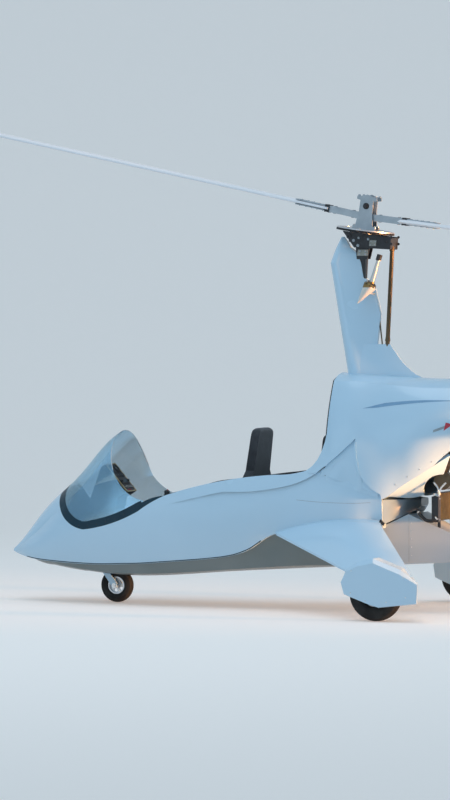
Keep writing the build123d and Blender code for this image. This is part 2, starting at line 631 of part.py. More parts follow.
radiator = fuse(block(-550, -516, -164, 164, 602, 782), block(-556, -510, 160, 204, 594, 760),
                block(-556, -510, -204, -160, 594, 760))
for side in (1, -1):
    radiator = fuse(radiator, block(-541, -525, side * 120 - 8, side * 120 + 8, 500, 610))

# Tail: fairing, boom, stabiliser with end fins, centre fin, rudder
#  x, low z, high z, half width
TAIL_ROWS = [
    (-150, 300, 545, 236),
    (-345, 318, 641, 190),
    (-610, 330, 522, 118),
    (-900, 336, 432, 66),
    (-1000, 338, 420, 52),
]


def box_section(x, z0, z1, half):
    return Wire([
        segment((x, half, z0), (x, half, z1)),
        segment((x, half, z1), (x, -half, z1)),
        segment((x, -half, z1), (x, -half, z0)),
        segment((x, -half, z0), (x, half, z0)),
    ])


tail_hollow = Solid.make_loft([box_section(x - 1 if x > -200 else x, z0 + WALL, z1 - WALL, half - WALL)
                               for x, z0, z1, half in TAIL_ROWS[:-1]], True)
tail_hollow = fuse(tail_hollow, block(-152, -140, -222, 222, 314, 531))
tail_fairing = cut(Solid.make_loft([box_section(*row) for row in TAIL_ROWS], True), tail_hollow, envelope,
                   pan_solid, wing, mirrored(wing))
keep("tail_fairing", tail_fairing)
keep("radiator", cut(radiator, Solid.make_loft([box_section(*row) for row in TAIL_ROWS], True)))
boom = cut(block(-2420, -1000, -45, 45, 340, 415), block(-2425, -1010, -40, 40, 345, 410))
keep("tail_boom", boom)
stab = Solid.make_loft([wing_section(y, -1960, 426, -2400, 426, 24) for y in (-540, 0, 540)], True)
stab = fuse(stab, block(-2360, -2000, -40, 40, 415, 427))
end_fin = Solid.make_loft([teardrop(430, -1986, -2400, 10, 3), teardrop(1050, -2200, -2430, 8, 3)], True)
stab = fuse(stab, end_fin.moved(Location((0, 530, 0))), end_fin.moved(Location((0, -530, 0))))
keep("stabiliser", stab)
HINGE_X = RUDDER_X - 26
fin = Solid.make_loft([teardrop(415, -1640, RUDDER_X, 20, 14), teardrop(1700, -2040, RUDDER_X, 15, 12)], True)
hinge_rod = rod((HINGE_X, 0, 446), (HINGE_X, 0, 1690), 8)
hinge_tabs = fuse(block(RUDDER_X - 40, RUDDER_X + 2, -9, 9, 560, 580),
                  block(RUDDER_X - 40, RUDDER_X + 2, -9, 9, 1560, 1580))
fin = fuse(cut(fin, stab), hinge_rod, hinge_tabs)
keep("centre_fin", fin)
rudder = fuse(rod((HINGE_X, 0, 470), (HINGE_X, 0, 1690), 17),
              Solid.make_loft([teardrop(470, HINGE_X + 4, -2520, 16, 3), teardrop(1690, HINGE_X + 4, -2500, 14, 3)],
                              True))
rudder = cut(rudder, rod((HINGE_X, 0, 400), (HINGE_X, 0, 1800), 8 + SHAFT_GAP))
for z in (570, 1570):
    rudder = cut(rudder, rod((HINGE_X, 0, z - 16), (HINGE_X, 0, z + 16), 34))
keep("rudder", rudder)
TAIL_AXLE = 6.0
bracket = fuse(block(TAIL_WHEEL_X - 30, TAIL_WHEEL_X + 30, -30, 30, 240, 340),
               side_plate([(TAIL_WHEEL_X - 28, 245), (TAIL_WHEEL_X + 28, 245), (TAIL_WHEEL_X + 12, 136),
                           (TAIL_WHEEL_X - 12, 136)], 24, 30),
               side_plate([(TAIL_WHEEL_X - 28, 245), (TAIL_WHEEL_X + 28, 245), (TAIL_WHEEL_X + 12, 136),
                           (TAIL_WHEEL_X - 12, 136)], -30, -24),
               drum(TAIL_WHEEL_X, -30, 30, TAIL_WHEEL_Z, TAIL_AXLE))
keep("tail_bracket", bracket)
tail_wheel = drum(TAIL_WHEEL_X, -17, 17, TAIL_WHEEL_Z, TAIL_WHEEL_RADIUS)
tail_wheel = cut(tail_wheel, drum(TAIL_WHEEL_X, -20, 20, TAIL_WHEEL_Z, TAIL_AXLE + SHAFT_GAP))
keep("tail_wheel", tail_wheel)

# Propeller on the gearbox shaft: blade sections by radius
#  radius, chord, thickness, pitch angle
PROP_ROWS = [(40, 66, 44, 60), (150, 92, 30, 48), (320, 132, 20, 34), (600, 118, 13, 22), (PROP_RADIUS, 62, 6, 15)]


def prop_section(radius, chord, thick, pitch):
    forward = sin(radians(pitch))
    across = cos(radians(pitch))

    def at(along, up):
        return (PROP_X + along * forward + up * across, along * across - up * forward, PROP_Z + radius)

    front_edge = 0.45 * chord
    rear_edge = -0.55 * chord
    return Wire([
        arc(at(front_edge, thick * 0.12), at(0.1 * chord, thick / 2), at(rear_edge, 1)),
        segment(at(rear_edge, 1), at(rear_edge, -1)),
        arc(at(rear_edge, -1), at(0.1 * chord, -thick / 2), at(front_edge, -thick * 0.12)),
        segment(at(front_edge, -thick * 0.12), at(front_edge, thick * 0.12)),
    ])


prop = rod((PROP_X + 45, 0, PROP_Z), (PROP_X - 45, 0, PROP_Z), 70)
blade = Solid.make_loft([prop_section(*row) for row in PROP_ROWS])
for i in range(3):
    prop = fuse(prop, blade.rotate(Axis((0, 0, PROP_Z), (1, 0, 0)), 120 * i))
spinner = rod((PROP_X - 45, 0, PROP_Z), (PROP_X - 190, 0, PROP_Z), 70, 12)
prop = cut(fuse(prop, spinner), rod((-980, 0, PROP_Z), (PROP_X - 60, 0, PROP_Z), 16 + SHAFT_GAP))
keep("propeller", prop)

# Rotor head, built upright about the teeter bolt and then tilted aft
TEETER = (0, 0, TEETER_Z)
RING_DROP = 160.0
RING_RADIUS = 186.0


def tilt(shape, more=0.0):
    return shape.rotate(Axis(TEETER, (0, 1, 0)), -DISC_TILT - more)


ring_z = TEETER_Z - RING_DROP
ring = rod((0, 0, ring_z - 7), (0, 0, ring_z + 7), RING_RADIUS)
ring = cut(ring, rod((0, 0, ring_z - 9), (0, 0, ring_z + 9), 44.05))
ring = fuse(ring, cut(rod((0, 0, ring_z - 11), (0, 0, ring_z + 9), RING_RADIUS),
                      rod((0, 0, ring_z - 12), (0, 0, ring_z + 12), RING_RADIUS - 12)))
keep("ring_gear", tilt(ring))
tower = [(-64, -153), (64, -153), (46, -40), (44, 36), (70, 40), (68, 62), (30, 64), (0, 76), (-30, 64),
         (-68, 62), (-70, 40), (-44, 36), (-46, -40)]
tower = [(x, TEETER_Z + z) for x, z in tower]
cheeks = fuse(side_plate(tower, 36, 46), side_plate(tower, -46, -36))
feet = [block(x - 16, x + 16, y - 9, y + 9, ring_z + 7, ring_z + 29) for x in (-62, 62) for y in (37, -37)]
BOLT_R = 11.0
head = fuse(cheeks, rod((0, 0, ring_z - 40), (0, 0, ring_z + 7), 44), block(-50, 50, -46, 46, ring_z + 7, ring_z + 17),
            *feet)
spindle_r = 16.0
head = cut(head, rod((0, 0, ring_z - 60), (0, 0, ring_z - 2), spindle_r + SHAFT_GAP))
head = fuse(head, drum(0, -52, 52, TEETER_Z, BOLT_R))
keep("rotor_tower", tilt(head))

hub_bar = block(-70, 70, -30, 30, TEETER_Z - UNDERSLING - 21, TEETER_Z - UNDERSLING + 21)
hub_bar = fuse(hub_bar, drum(0, -30, 30, TEETER_Z, 26), block(-24, 24, -30, 30, TEETER_Z - UNDERSLING, TEETER_Z))
bolt_hole = drum(0, -60, 60, TEETER_Z, BOLT_R + SHAFT_GAP)
hub_bar = cut(hub_bar, bolt_hole)
ARM_END = 262.0
BLADE_AXIS = Axis((0, 0, TEETER_Z - UNDERSLING), (0, 1, 0))
blades = []
for side in (1, -1):
    low = TEETER_Z - UNDERSLING
    a, b = sorted((side * 40, side * ARM_END))
    arm = block(a, b, -30, 30, low - 21, low + 21)
    straps = []
    a, b = sorted((side * (ARM_END - 40), side * 500))
    for z in (low + BLADE_THICK / 2 + 0.5, low - BLADE_THICK / 2 - 6.5):
        straps.append(block(a, b, -30, 30, z, z + 6))
    hub_bar = fuse(hub_bar, fuse(arm, *straps).rotate(BLADE_AXIS, -side * CONE_ANGLE))
    profile = []
    for x in (side * ARM_END, side * ROTOR_RADIUS):
        lead = side * 0.32 * BLADE_CHORD
        trail = -side * 0.68 * BLADE_CHORD
        mid = side * 0.02 * BLADE_CHORD
        half = BLADE_THICK / 2
        profile.append(Wire([
            segment((x, lead, low - 4), (x, lead, low + 4)),
            arc((x, lead, low + 4), (x, mid, low + half), (x, trail, low + 1)),
            segment((x, trail, low + 1), (x, trail, low - 1)),
            arc((x, trail, low - 1), (x, mid, low - half), (x, lead, low - 4)),
        ]))
    blade = Solid.make_loft(profile, True).rotate(BLADE_AXIS, -side * CONE_ANGLE)
    blades.append(blade)
keep("hub_bar", tilt(hub_bar, REST_TEETER))
keep("blade_front", tilt(cut(blades[0], hub_bar), REST_TEETER))
keep("blade_rear", tilt(cut(blades[1], hub_bar), REST_TEETER))

# Fixed head frame on the mast, with the spindle the ring gear turns on
frame_z = ring_z - 18
HEAD_SIDE = [(133, 0), (-206, 0), (-210, -80), (40, -98)]
head_side = [(x, frame_z + z) for x, z in HEAD_SIDE]
head_frame = fuse(side_plate(head_side, 56, 70), side_plate(head_side, -70, -56),
                  block(-206, -172, -70, 70, frame_z - 76, frame_z - 6),
                  block(62, 82, -70, 70, frame_z - 66, frame_z - 8),
                  block(-48, 48, -60, 60, frame_z - 88, frame_z - 26),
                  rod((0, 0, frame_z - 60), (0, 0, ring_z - 4), spindle_r))
head_frame = tilt(head_frame)
mast_plates = side_plate([(70, 2290), (-2, 2290), (-30, 2400), (80, 2400)], 25, 33)
mast_plates = fuse(mast_plates, mirrored(mast_plates))
head_frame = cut(fuse(head_frame, mast_plates), mast)
keep("head_frame", head_frame)
fairing = cut(fairing, head_frame)
keep("mast_fairing", fairing)

# Control rods behind the mast and the prerotator drive beside it
rods = [rod((-165, 0, 2372), (-131, 0, 1705), 14), rod((-76, 0, 1915), (-99, 0, 1715), 4.5)]
keep("control_rods", as_one([cut(r, cowl_outer, head_frame, fairing) for r in rods]))
cone = fuse(rod((39, 100, 2003), (-46, 100, 2116), 3, 44), rod((-46, 100, 2116), (-58, 100, 2132), 36),
            rod((-58, 100, 2132), (-110, 100, 2300), 17, 11), rod((-104, 100, 2282), (-116, 100, 2318), 18),
            rod((-60, 40, 2060), (-20, 98, 2080), 8))
keep("prerotator", cut(cone, fairing, head_frame))

for name, shape in NODES.items():
    export_step(shape, f"parts/{name}.step")
    box = shape.bounding_box()
    print(f"{name:18s} {len(shape.solids())} {shape.volume / 1e6:9.3f} l  "
          f"X {box.min.X:8.1f} {box.max.X:8.1f}  Y {box.min.Y:7.1f} {box.max.Y:7.1f}  "
          f"Z {box.min.Z:7.1f} {box.max.Z:7.1f}  {'valid' if shape.is_valid else 'BAD'}")
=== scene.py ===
import json
import random
from math import cos, pi, radians, sin, sqrt

import bmesh
import bpy
from mathutils import Matrix, Vector
from mathutils.bvhtree import BVHTree

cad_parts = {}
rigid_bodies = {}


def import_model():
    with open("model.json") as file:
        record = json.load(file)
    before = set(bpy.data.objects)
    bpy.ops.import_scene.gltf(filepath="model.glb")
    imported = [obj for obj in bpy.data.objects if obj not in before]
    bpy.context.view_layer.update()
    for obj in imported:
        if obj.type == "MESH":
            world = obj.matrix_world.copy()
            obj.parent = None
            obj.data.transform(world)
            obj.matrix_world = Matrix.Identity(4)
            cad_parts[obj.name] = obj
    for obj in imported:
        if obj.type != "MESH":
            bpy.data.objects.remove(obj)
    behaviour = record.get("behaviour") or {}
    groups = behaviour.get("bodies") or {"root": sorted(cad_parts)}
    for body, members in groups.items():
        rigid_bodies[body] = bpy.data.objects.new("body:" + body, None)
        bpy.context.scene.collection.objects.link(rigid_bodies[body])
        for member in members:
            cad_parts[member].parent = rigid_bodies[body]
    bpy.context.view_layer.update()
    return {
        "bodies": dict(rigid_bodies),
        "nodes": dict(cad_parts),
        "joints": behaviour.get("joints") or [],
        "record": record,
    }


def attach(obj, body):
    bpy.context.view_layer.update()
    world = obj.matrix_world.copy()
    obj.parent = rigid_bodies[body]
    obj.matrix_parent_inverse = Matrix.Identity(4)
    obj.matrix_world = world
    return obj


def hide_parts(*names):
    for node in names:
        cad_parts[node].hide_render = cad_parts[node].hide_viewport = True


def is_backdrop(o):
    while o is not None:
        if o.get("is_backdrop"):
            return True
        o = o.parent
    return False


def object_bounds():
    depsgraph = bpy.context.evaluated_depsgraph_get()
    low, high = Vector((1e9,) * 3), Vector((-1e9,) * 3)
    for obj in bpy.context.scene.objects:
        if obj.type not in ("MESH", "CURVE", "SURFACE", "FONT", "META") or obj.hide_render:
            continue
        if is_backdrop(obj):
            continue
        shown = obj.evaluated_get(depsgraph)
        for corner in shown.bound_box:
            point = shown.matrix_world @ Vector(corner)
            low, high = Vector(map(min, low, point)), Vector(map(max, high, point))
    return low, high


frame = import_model()
nodes = frame["nodes"]
scene = bpy.context.scene
scene.view_settings.view_transform = "Standard"
chance = random.Random(7)

# Camera at the photograph's view, 22 degrees behind the port beam and 1.75 degrees down
VIEW_TURN = radians(22)
VIEW_DROP = radians(1.75)
# Width of the sensor in millimetres, and the focal length and the picture's height in pixels
SENSOR = 36.0
FOCAL_PIXELS = 4545.45
PICTURE_PIXELS = 800.0
camera_data = bpy.data.cameras.new("camera")
camera = bpy.data.objects.new("camera", camera_data)
scene.collection.objects.link(camera)
camera.location = (-10.242, 27.848, 2.277)
look = Vector((sin(VIEW_TURN) * cos(VIEW_DROP), -cos(VIEW_TURN) * cos(VIEW_DROP), -sin(VIEW_DROP)))
camera.rotation_euler = look.to_track_quat("-Z", "Y").to_euler()
camera_data.sensor_fit = "AUTO"
camera_data.sensor_width = SENSOR
camera_data.lens = SENSOR * FOCAL_PIXELS / PICTURE_PIXELS
camera_data.clip_end = 200.0
scene.camera = camera

# Places shared with the solids, in metres and degrees
TEETER = Vector((0.0, 0.0, 2.635))
HEAD_TILT = 7.4
ROTOR_TILT = 9.5
CONE = 2.45
UNDERSLING = 0.070
RING_DROP = 0.160
MAIN_HUB = Vector((-0.377, 0.88, 0.175))
NOSE_HUB = Vector((1.784, 0.0, 0.114))
TAIL_HUB = Vector((-2.31, 0.0, 0.15))
PROP_HUB = Vector((-1.06, 0.0, 1.33))


# Material helpers
def new_material(name):
    material = bpy.data.materials.new(name)
    material.use_nodes = True
    tree = material.node_tree
    return material, tree, tree.nodes["Principled BSDF"]


def add(tree, kind, **values):
    node = tree.nodes.new(kind)
    for key, value in values.items():
        setattr(node, key, value)
    return node


def feed(tree, node, inputs):
    # Each named or numbered input takes a link from a socket, or a plain value
    for name, value in inputs.items():
        if isinstance(value, bpy.types.NodeSocket):
            tree.links.new(value, node.inputs[name])
        else:
            node.inputs[name].default_value = value


def reckon(tree, kind, operation, *values, output="Value"):
    # A math node that works on sockets or plain values
    node = add(tree, kind, operation=operation)
    feed(tree, node, dict(enumerate(values)))
    return node.outputs[output]


def own_place(tree):
    # The place in the piece's own frame, whole and as X, Y and Z
    place = add(tree, "ShaderNodeTexCoord").outputs["Object"]
    parts = add(tree, "ShaderNodeSeparateXYZ")
    tree.links.new(place, parts.inputs["Vector"])
    return place, parts.outputs


def noise(tree, scale, detail=3.0, stretch=(1, 1, 1)):
    mapping = add(tree, "ShaderNodeMapping")
    feed(tree, mapping, {"Vector": add(tree, "ShaderNodeTexCoord").outputs["Object"], "Scale": stretch})
    texture = add(tree, "ShaderNodeTexNoise")
    feed(tree, texture, {"Vector": mapping.outputs["Vector"], "Scale": scale, "Detail": detail})
    return texture.outputs["Fac"]


def ramp(tree, source, stops, interpolation="LINEAR"):
    node = add(tree, "ShaderNodeValToRGB")
    node.color_ramp.interpolation = interpolation
    elements = node.color_ramp.elements
    for element, (place, colour) in zip(elements, (stops[0], stops[-1])):
        element.position = place
        element.color = (*colour, 1)
    for place, colour in stops[1:-1]:
        elements.new(place).color = (*colour, 1)
    tree.links.new(source, node.inputs["Fac"])
    return node.outputs["Color"]


def spread(tree, source, low, high, start=0.0, end=1.0):
    # The source's range from start to end, spread from low to high
    node = add(tree, "ShaderNodeMapRange")
    feed(tree, node, {"Value": source, "From Min": start, "From Max": end, "To Min": low, "To Max": high})
    return node.outputs["Result"]


def mix_shaders(tree, share, first, second):
    mixed = add(tree, "ShaderNodeMixShader")
    feed(tree, mixed, {0: share, 1: first.outputs["BSDF"], 2: second.outputs["BSDF"]})
    tree.links.new(mixed.outputs["Shader"], tree.nodes["Material Output"].inputs["Surface"])


def finish(name, dark, light, rough=(0.3, 0.4), metal=0.0, scale=6.0, coat=0.0, coat_rough=0.05,
           relief=0.0, relief_scale=60.0, sheen=0.0, stretch=(1, 1, 1), specular=0.5):
    material, tree, shader = new_material(name)
    feed(tree, shader, {
        "Base Color": ramp(tree, noise(tree, scale, 4.0, stretch), [(0.3, dark), (0.7, light)]),
        "Roughness": spread(tree, noise(tree, scale * 3.1, 2.0, stretch), *rough),
        "Metallic": metal,
        "Coat Weight": coat,
        "Coat Roughness": coat_rough,
        "Sheen Weight": sheen,
        "Specular IOR Level": specular,
    })
    if relief:
        bump = add(tree, "ShaderNodeBump")
        feed(tree, bump, {"Strength": 0.35, "Distance": relief, "Height": noise(tree, relief_scale, 3.0,
                                                                                stretch)})
        tree.links.new(bump.outputs["Normal"], shader.inputs["Normal"])
    return material


# White gelcoat given a pale blue tone: painted sky shade on a white paint
white = finish("white_gelcoat_painted_sky_shade", (0.50, 0.70, 0.84), (0.53, 0.73, 0.87), (0.20, 0.30), coat=0.5,
               coat_rough=0.06, scale=1.4)
# The belly pan is white; its dark grey-green tone is painted shade on the underside
belly = finish("belly_painted_shade", (0.16, 0.20, 0.20), (0.21, 0.25, 0.25), (0.35, 0.5), coat=0.2, scale=2.0)
tail_paint = finish("tail_paint", (0.38, 0.47, 0.54), (0.43, 0.52, 0.59), (0.38, 0.50), coat=0.1, scale=2.0)
blade_white = finish("blade_paint", (0.80, 0.81, 0.84), (0.86, 0.87, 0.90), (0.28, 0.4), coat=0.3, scale=5.0,
                     stretch=(0.15, 1, 1))
# Black trim given a dark teal tone: painted sky shade on black
trim = finish("trim_black", (0.005, 0.030, 0.050), (0.009, 0.044, 0.070), (0.30, 0.45), specular=0.3, scale=8.0)
black = finish("satin_black", (0.012, 0.012, 0.014), (0.03, 0.03, 0.034), (0.35, 0.55), scale=20.0,
               relief=0.0004, relief_scale=400.0)
plastic = finish("dark_plastic", (0.018, 0.018, 0.02), (0.035, 0.035, 0.038), (0.5, 0.65), scale=30.0,
                 relief=0.0005, relief_scale=900.0)
rubber = finish("tyre_rubber", (0.012, 0.012, 0.012), (0.035, 0.034, 0.032), (0.7, 0.88), scale=14.0,
                relief=0.001, relief_scale=160.0, specular=0.3)
alloy = finish("cast_alloy", (0.55, 0.56, 0.58), (0.68, 0.69, 0.71), (0.3, 0.48), metal=1.0, scale=12.0,
               relief=0.0003, relief_scale=500.0)
grey_alloy = finish("anodised_grey", (0.34, 0.38, 0.41), (0.44, 0.48, 0.51), (0.35, 0.5),
                    metal=0.55, scale=12.0,
                    relief=0.0003, relief_scale=500.0)
steel = finish("bare_steel", (0.42, 0.41, 0.40), (0.58, 0.57, 0.56), (0.25, 0.42), metal=1.0, scale=10.0,
               stretch=(1, 1, 0.1))
bright = finish("polished_fastener", (0.66, 0.66, 0.65), (0.80, 0.80, 0.79), (0.2, 0.34), metal=1.0, scale=30.0)
bronze = finish("dark_bronze", (0.060, 0.042, 0.024), (0.16, 0.115, 0.065), (0.32, 0.48), metal=0.7, scale=6.0,
                stretch=(1, 1, 0.2))
brass = finish("brass_collar", (0.36, 0.25, 0.10), (0.52, 0.38, 0.17), (0.3, 0.45), metal=0.9, scale=24.0)
plate_metal = finish("plate_metal", (0.22, 0.22, 0.20), (0.34, 0.33, 0.29), (0.3, 0.45), metal=0.6, scale=20.0)
engine_alloy = finish("engine_alloy", (0.16, 0.165, 0.17), (0.38, 0.385, 0.39), (0.4, 0.6),
                      metal=0.9, scale=9.0,
                      relief=0.001, relief_scale=220.0)
# Heat-browned exhaust metal, darkened further as painted shade over the muffler
exhaust_heat_tint_and_shade = finish("exhaust_heat_tint_and_shade", (0.075, 0.050, 0.032), (0.21, 0.155, 0.105), (0.35, 0.55), metal=1.0, scale=7.0)
core_metal = finish("radiator_core", (0.16, 0.10, 0.035), (0.30, 0.20, 0.085), (0.4, 0.6),
                    metal=0.6, scale=40.0)
cloth = finish("seat_cloth", (0.016, 0.018, 0.022), (0.034, 0.037, 0.044), (0.75, 0.92), scale=18.0, sheen=0.4,
               relief=0.0012, relief_scale=700.0)
leather = finish("seat_leather", (0.014, 0.016, 0.018), (0.03, 0.033, 0.036), (0.4, 0.58), scale=26.0,
                 relief=0.0010, relief_scale=320.0)
webbing = finish("harness_webbing", (0.03, 0.032, 0.036), (0.06, 0.062, 0.07), (0.7, 0.85),
                 scale=60.0, sheen=0.3,
                 relief=0.0008, relief_scale=900.0)
panel_tan = finish("panel_edge", (0.46, 0.33, 0.17), (0.60, 0.45, 0.25), (0.4, 0.55), scale=9.0)
gauge_face = finish("gauge_face", (0.010, 0.010, 0.012), (0.018, 0.018, 0.020), (0.45, 0.55), scale=9.0)
gauge_mark = finish("gauge_mark", (0.72, 0.72, 0.70), (0.80, 0.80, 0.78), (0.5, 0.6), scale=9.0)
stripe_blue = finish("stripe_blue", (0.17, 0.33, 0.50), (0.23, 0.41, 0.60), (0.25, 0.35), coat=0.5, scale=8.0)
mark_red = finish("mark_red", (0.45, 0.025, 0.05), (0.58, 0.04, 0.07), (0.3, 0.4), coat=0.4, scale=8.0)
seam_grey = finish("seam_sealant", (0.27, 0.33, 0.37), (0.34, 0.40, 0.44), (0.5, 0.7), scale=20.0)
hose_rubber = finish("hose_rubber", (0.012, 0.012, 0.013), (0.028, 0.028, 0.03), (0.5, 0.65), scale=30.0,
                     relief=0.0005, relief_scale=500.0)
lens = finish("clear_lens", (0.55, 0.58, 0.6), (0.7, 0.72, 0.74), (0.05, 0.1), coat=1.0, scale=9.0)

screen, tree, shader = new_material("clear_screen")
feed(tree, shader, {"Base Color": (0.80, 0.91, 0.96, 1), "Roughness": 0.03, "Transmission Weight": 1.0,
                    "IOR": 1.3, "Specular IOR Level": 0.8})
veil = add(tree, "ShaderNodeBsdfGlossy")
feed(tree, veil, {"Color": (0.50, 0.80, 1.0, 1), "Roughness": 0.16})
mix_shaders(tree, spread(tree, noise(tree, 2.2, 3.0, (0.6, 1, 1.6)), 0.14, 0.50), shader, veil)


def dress(name, material):
    for mesh_slot in nodes[name].material_slots:
        mesh_slot.material = material


looks = {
    white: ["engine_cowl", "mast_fairing", "stub_wing_left", "stub_wing_right", "stabiliser", "centre_fin",
            "rudder", "tail_boom", "nose_fork"],
    tail_paint: ["tail_fairing"],
    belly: ["belly_pan"],
    blade_white: ["blade_front", "blade_rear"],
    trim: ["windshield_frame"],
    plastic: ["instrument_pod", "bulkhead", "control_sticks", "propeller"],
    screen: ["windshield"],
    black: ["mast_post", "head_frame", "engine_mount", "tail_bracket", "radiator"],
    steel: ["axle_left", "axle_right"],
    bronze: ["control_rods"],
    exhaust_heat_tint_and_shade: ["exhaust"],
    engine_alloy: ["engine"],
    grey_alloy: ["hub_bar", "rotor_tower"],
    alloy: ["main_rim_left", "main_rim_right", "nose_rim", "pedals", "ring_gear"],
    cloth: ["front_seat", "rear_seat"],
    rubber: ["main_tyre_left", "main_tyre_right", "nose_tyre", "tail_wheel"],
}
for material, names in looks.items():
    for name in names:
        dress(name, material)


# Mesh building: a shape gathers simple forms in metres and becomes one named piece
def tilted(angle):
    # A frame at the teeter bolt, tilted aft as the head and the rotor are
    return Matrix.Translation(TEETER) @ Matrix.Rotation(radians(-angle), 4, "Y")


HEAD = tilted(HEAD_TILT)
ROTOR = tilted(ROTOR_TILT)


def basis(axis):
    axis = axis.normalized()
    side = axis.orthogonal().normalized()
    return side, axis.cross(side)


def around(count, start=0.0):
    # Cosines and sines of evenly spaced angles, the first one "start" steps on
    return [(cos(2 * pi * (i + start) / count), sin(2 * pi * (i + start) / count)) for i in range(count)]


def between(table, at):
    # A value on the straight lines between rows of (place, value)
    at = min(at, table[-1][0])
    for (x0, v0), (x1, v1) in zip(table, table[1:]):
        if at <= x1:
            break
    return v0 + (v1 - v0) * (at - x0) / (x1 - x0)


def smooth_line(points, steps):
    points = [Vector(p) for p in points]
    if len(points) < 3:
        return points
    ends = [2 * points[0] - points[1]] + points + [2 * points[-1] - points[-2]]
    line = []
    for i in range(1, len(ends) - 2):
        p0, p1, p2, p3 = ends[i - 1:i + 3]
        for k in range(steps):
            t = k / steps
            line.append(0.5 * (2 * p1 + (p2 - p0) * t + (2 * p0 - 5 * p1 + 4 * p2 - p3) * t * t +
                               (3 * p1 - p0 - 3 * p2 + p3) * t * t * t))
    line.append(points[-1])
    return line


class Shape:
    def __init__(self, frame=None):
        self.verts = []
        self.faces = []
        self.frame = frame

    def put(self, verts, faces):
        start = len(self.verts)
        self.verts += [Vector(v) for v in verts]
        self.faces += [tuple(start + i for i in face) for face in faces]

    def loft(self, rings, closed=False):
        # A tube through rings of points, capped unless it closes on itself
        size = len(rings[0])
        count = len(rings)
        faces = []
        for i in range(count if closed else count - 1):
            j = (i + 1) % count
            for k in range(size):
                m = (k + 1) % size
                faces.append((i * size + k, i * size + m, j * size + m, j * size + k))
        if not closed:
            faces.append(tuple(range(size - 1, -1, -1)))
            faces.append(tuple((count - 1) * size + k for k in range(size)))
        self.put([p for ring in rings for p in ring], faces)

    def sheet(self, rows):
        # A sheet through rows of points
        wide = len(rows[0])
        faces = [(i * wide + k, i * wide + k + 1, (i + 1) * wide + k + 1, (i + 1) * wide + k)
                 for i in range(len(rows) - 1) for k in range(wide - 1)]
        self.put([p for row in rows for p in row], faces)

    def rod(self, a, b, radius, end_radius=None, sides=24, turn=0.0):
        a = Vector(a)
        b = Vector(b)
        u, v = basis(b - a)
        angles = [2 * pi * i / sides + turn for i in range(sides)]
        ends = ((a, radius), (b, radius if end_radius is None else end_radius))
        self.loft([[centre + r * (cos(angle) * u + sin(angle) * v) for angle in angles] for centre, r in ends])

    def bolt(self, place, axis, radius, height, washer=True):
        # A hexagon head on a round washer, with the shank's end showing
        place = Vector(place)
        axis = Vector(axis).normalized()
        base = place
        if washer:
            base = place + 0.18 * height * axis
            self.rod(place, base, radius * 1.35, sides=18)
        top = place + height * axis
        self.rod(base, top, radius, sides=6, turn=chance.uniform(0, 1))
        self.rod(top, place + 1.25 * height * axis, radius * 0.5, radius * 0.42, sides=12)

    def screw(self, place, axis, radius, height):
        place = Vector(place)
        axis = Vector(axis).normalized()
        self.rod(place, place + 0.6 * height * axis, radius, sides=16)
        self.rod(place + 0.6 * height * axis, place + height * axis, radius, radius * 0.6, sides=16)

    def box(self, low, high):
        (x0, y0, z0), (x1, y1, z1) = low, high
        verts = [(x, y, z) for x in (x0, x1) for y in (y0, y1) for z in (z0, z1)]
        self.put(verts, [(0, 1, 3, 2), (4, 6, 7, 5), (0, 4, 5, 1), (2, 3, 7, 6), (0, 2, 6, 4), (1, 5, 7, 3)])

    def plate(self, points, y0, y1):
        self.loft([[(x, y, z) for x, z in points] for y in (y0, y1)])

    def sweep(self, line, outline, closed=False):
        # An outline of (side, up) offsets carried along a line without twisting
        line = [Vector(p) for p in line]
        last = len(line)
        side = None
        rings = []
        for i, point in enumerate(line):
            if closed:
                way = (line[(i + 1) % last] - line[i - 1]).normalized()
            else:
                way = (line[min(i + 1, last - 1)] - line[max(i - 1, 0)]).normalized()
            if side is None:
                side = way.orthogonal().normalized()
            side = (side - way * side.dot(way)).normalized()
            up = way.cross(side)
            rings.append([point + a * side + b * up for a, b in outline])
        self.loft(rings, closed)

    def pipe(self, points, radius, sides=12, steps=8):
        self.sweep(smooth_line(points, steps), [(radius * c, radius * s) for c, s in around(sides)])

    def lathe(self, profile, centre, axis, count=64, whole=False):
        # A profile of (radius, distance along the axis), closed on itself when whole
        centre = Vector(centre)
        axis = Vector(axis).normalized()
        u, v = basis(axis)
        size = len(profile)
        verts = [centre + r * (c * u + s * v) + h * axis for c, s in around(count) for r, h in profile]
        faces = []
        for i in range(count):
            j = (i + 1) % count
            for k in range(size if whole else size - 1):
                m = (k + 1) % size
                faces.append((i * size + k, j * size + k, j * size + m, i * size + m))
        self.put(verts, faces)

    def make(self, name, material, body, sharp=32.0):
        points = [self.frame @ v if self.frame else v for v in self.verts]
        mesh = bpy.data.meshes.new(name)
        mesh.from_pydata([tuple(p) for p in points], [], self.faces)
        form = bmesh.new()
        form.from_mesh(mesh)
        bmesh.ops.recalc_face_normals(form, faces=form.faces)
        for face in form.faces:
            face.smooth = True
        for edge in form.edges:
            if len(edge.link_faces) != 2 or edge.calc_face_angle(0.0) > radians(sharp):
                edge.smooth = False
        form.to_mesh(mesh)
        form.free()
        mesh.materials.append(material)
        obj = bpy.data.objects.new(name, mesh)
        scene.collection.objects.link(obj)
        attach(obj, body)
        return obj


# Surface finding, so that seams, stripes and screws lie on the solids' own skins
bpy.context.view_layer.update()


def skin(*names):
    verts = []
    faces = []
    for name in names:
        obj = nodes[name]
        start = len(verts)
        verts += [obj.matrix_world @ v.co for v in obj.data.vertices]
        faces += [tuple(start + i for i in p.vertices) for p in obj.data.polygons]
    return BVHTree.FromPolygons(verts, faces)


def side_hit(tree, x, z, side):
    # Where a level line from the given side first meets the skin, and the skin's outward way there
    place, normal, index, distance = tree.ray_cast(Vector((x, side * 2.0, z)), Vector((0, -side, 0)))
    if place is None:
        return None
    return place, (-normal if normal.y * side < 0 else normal)


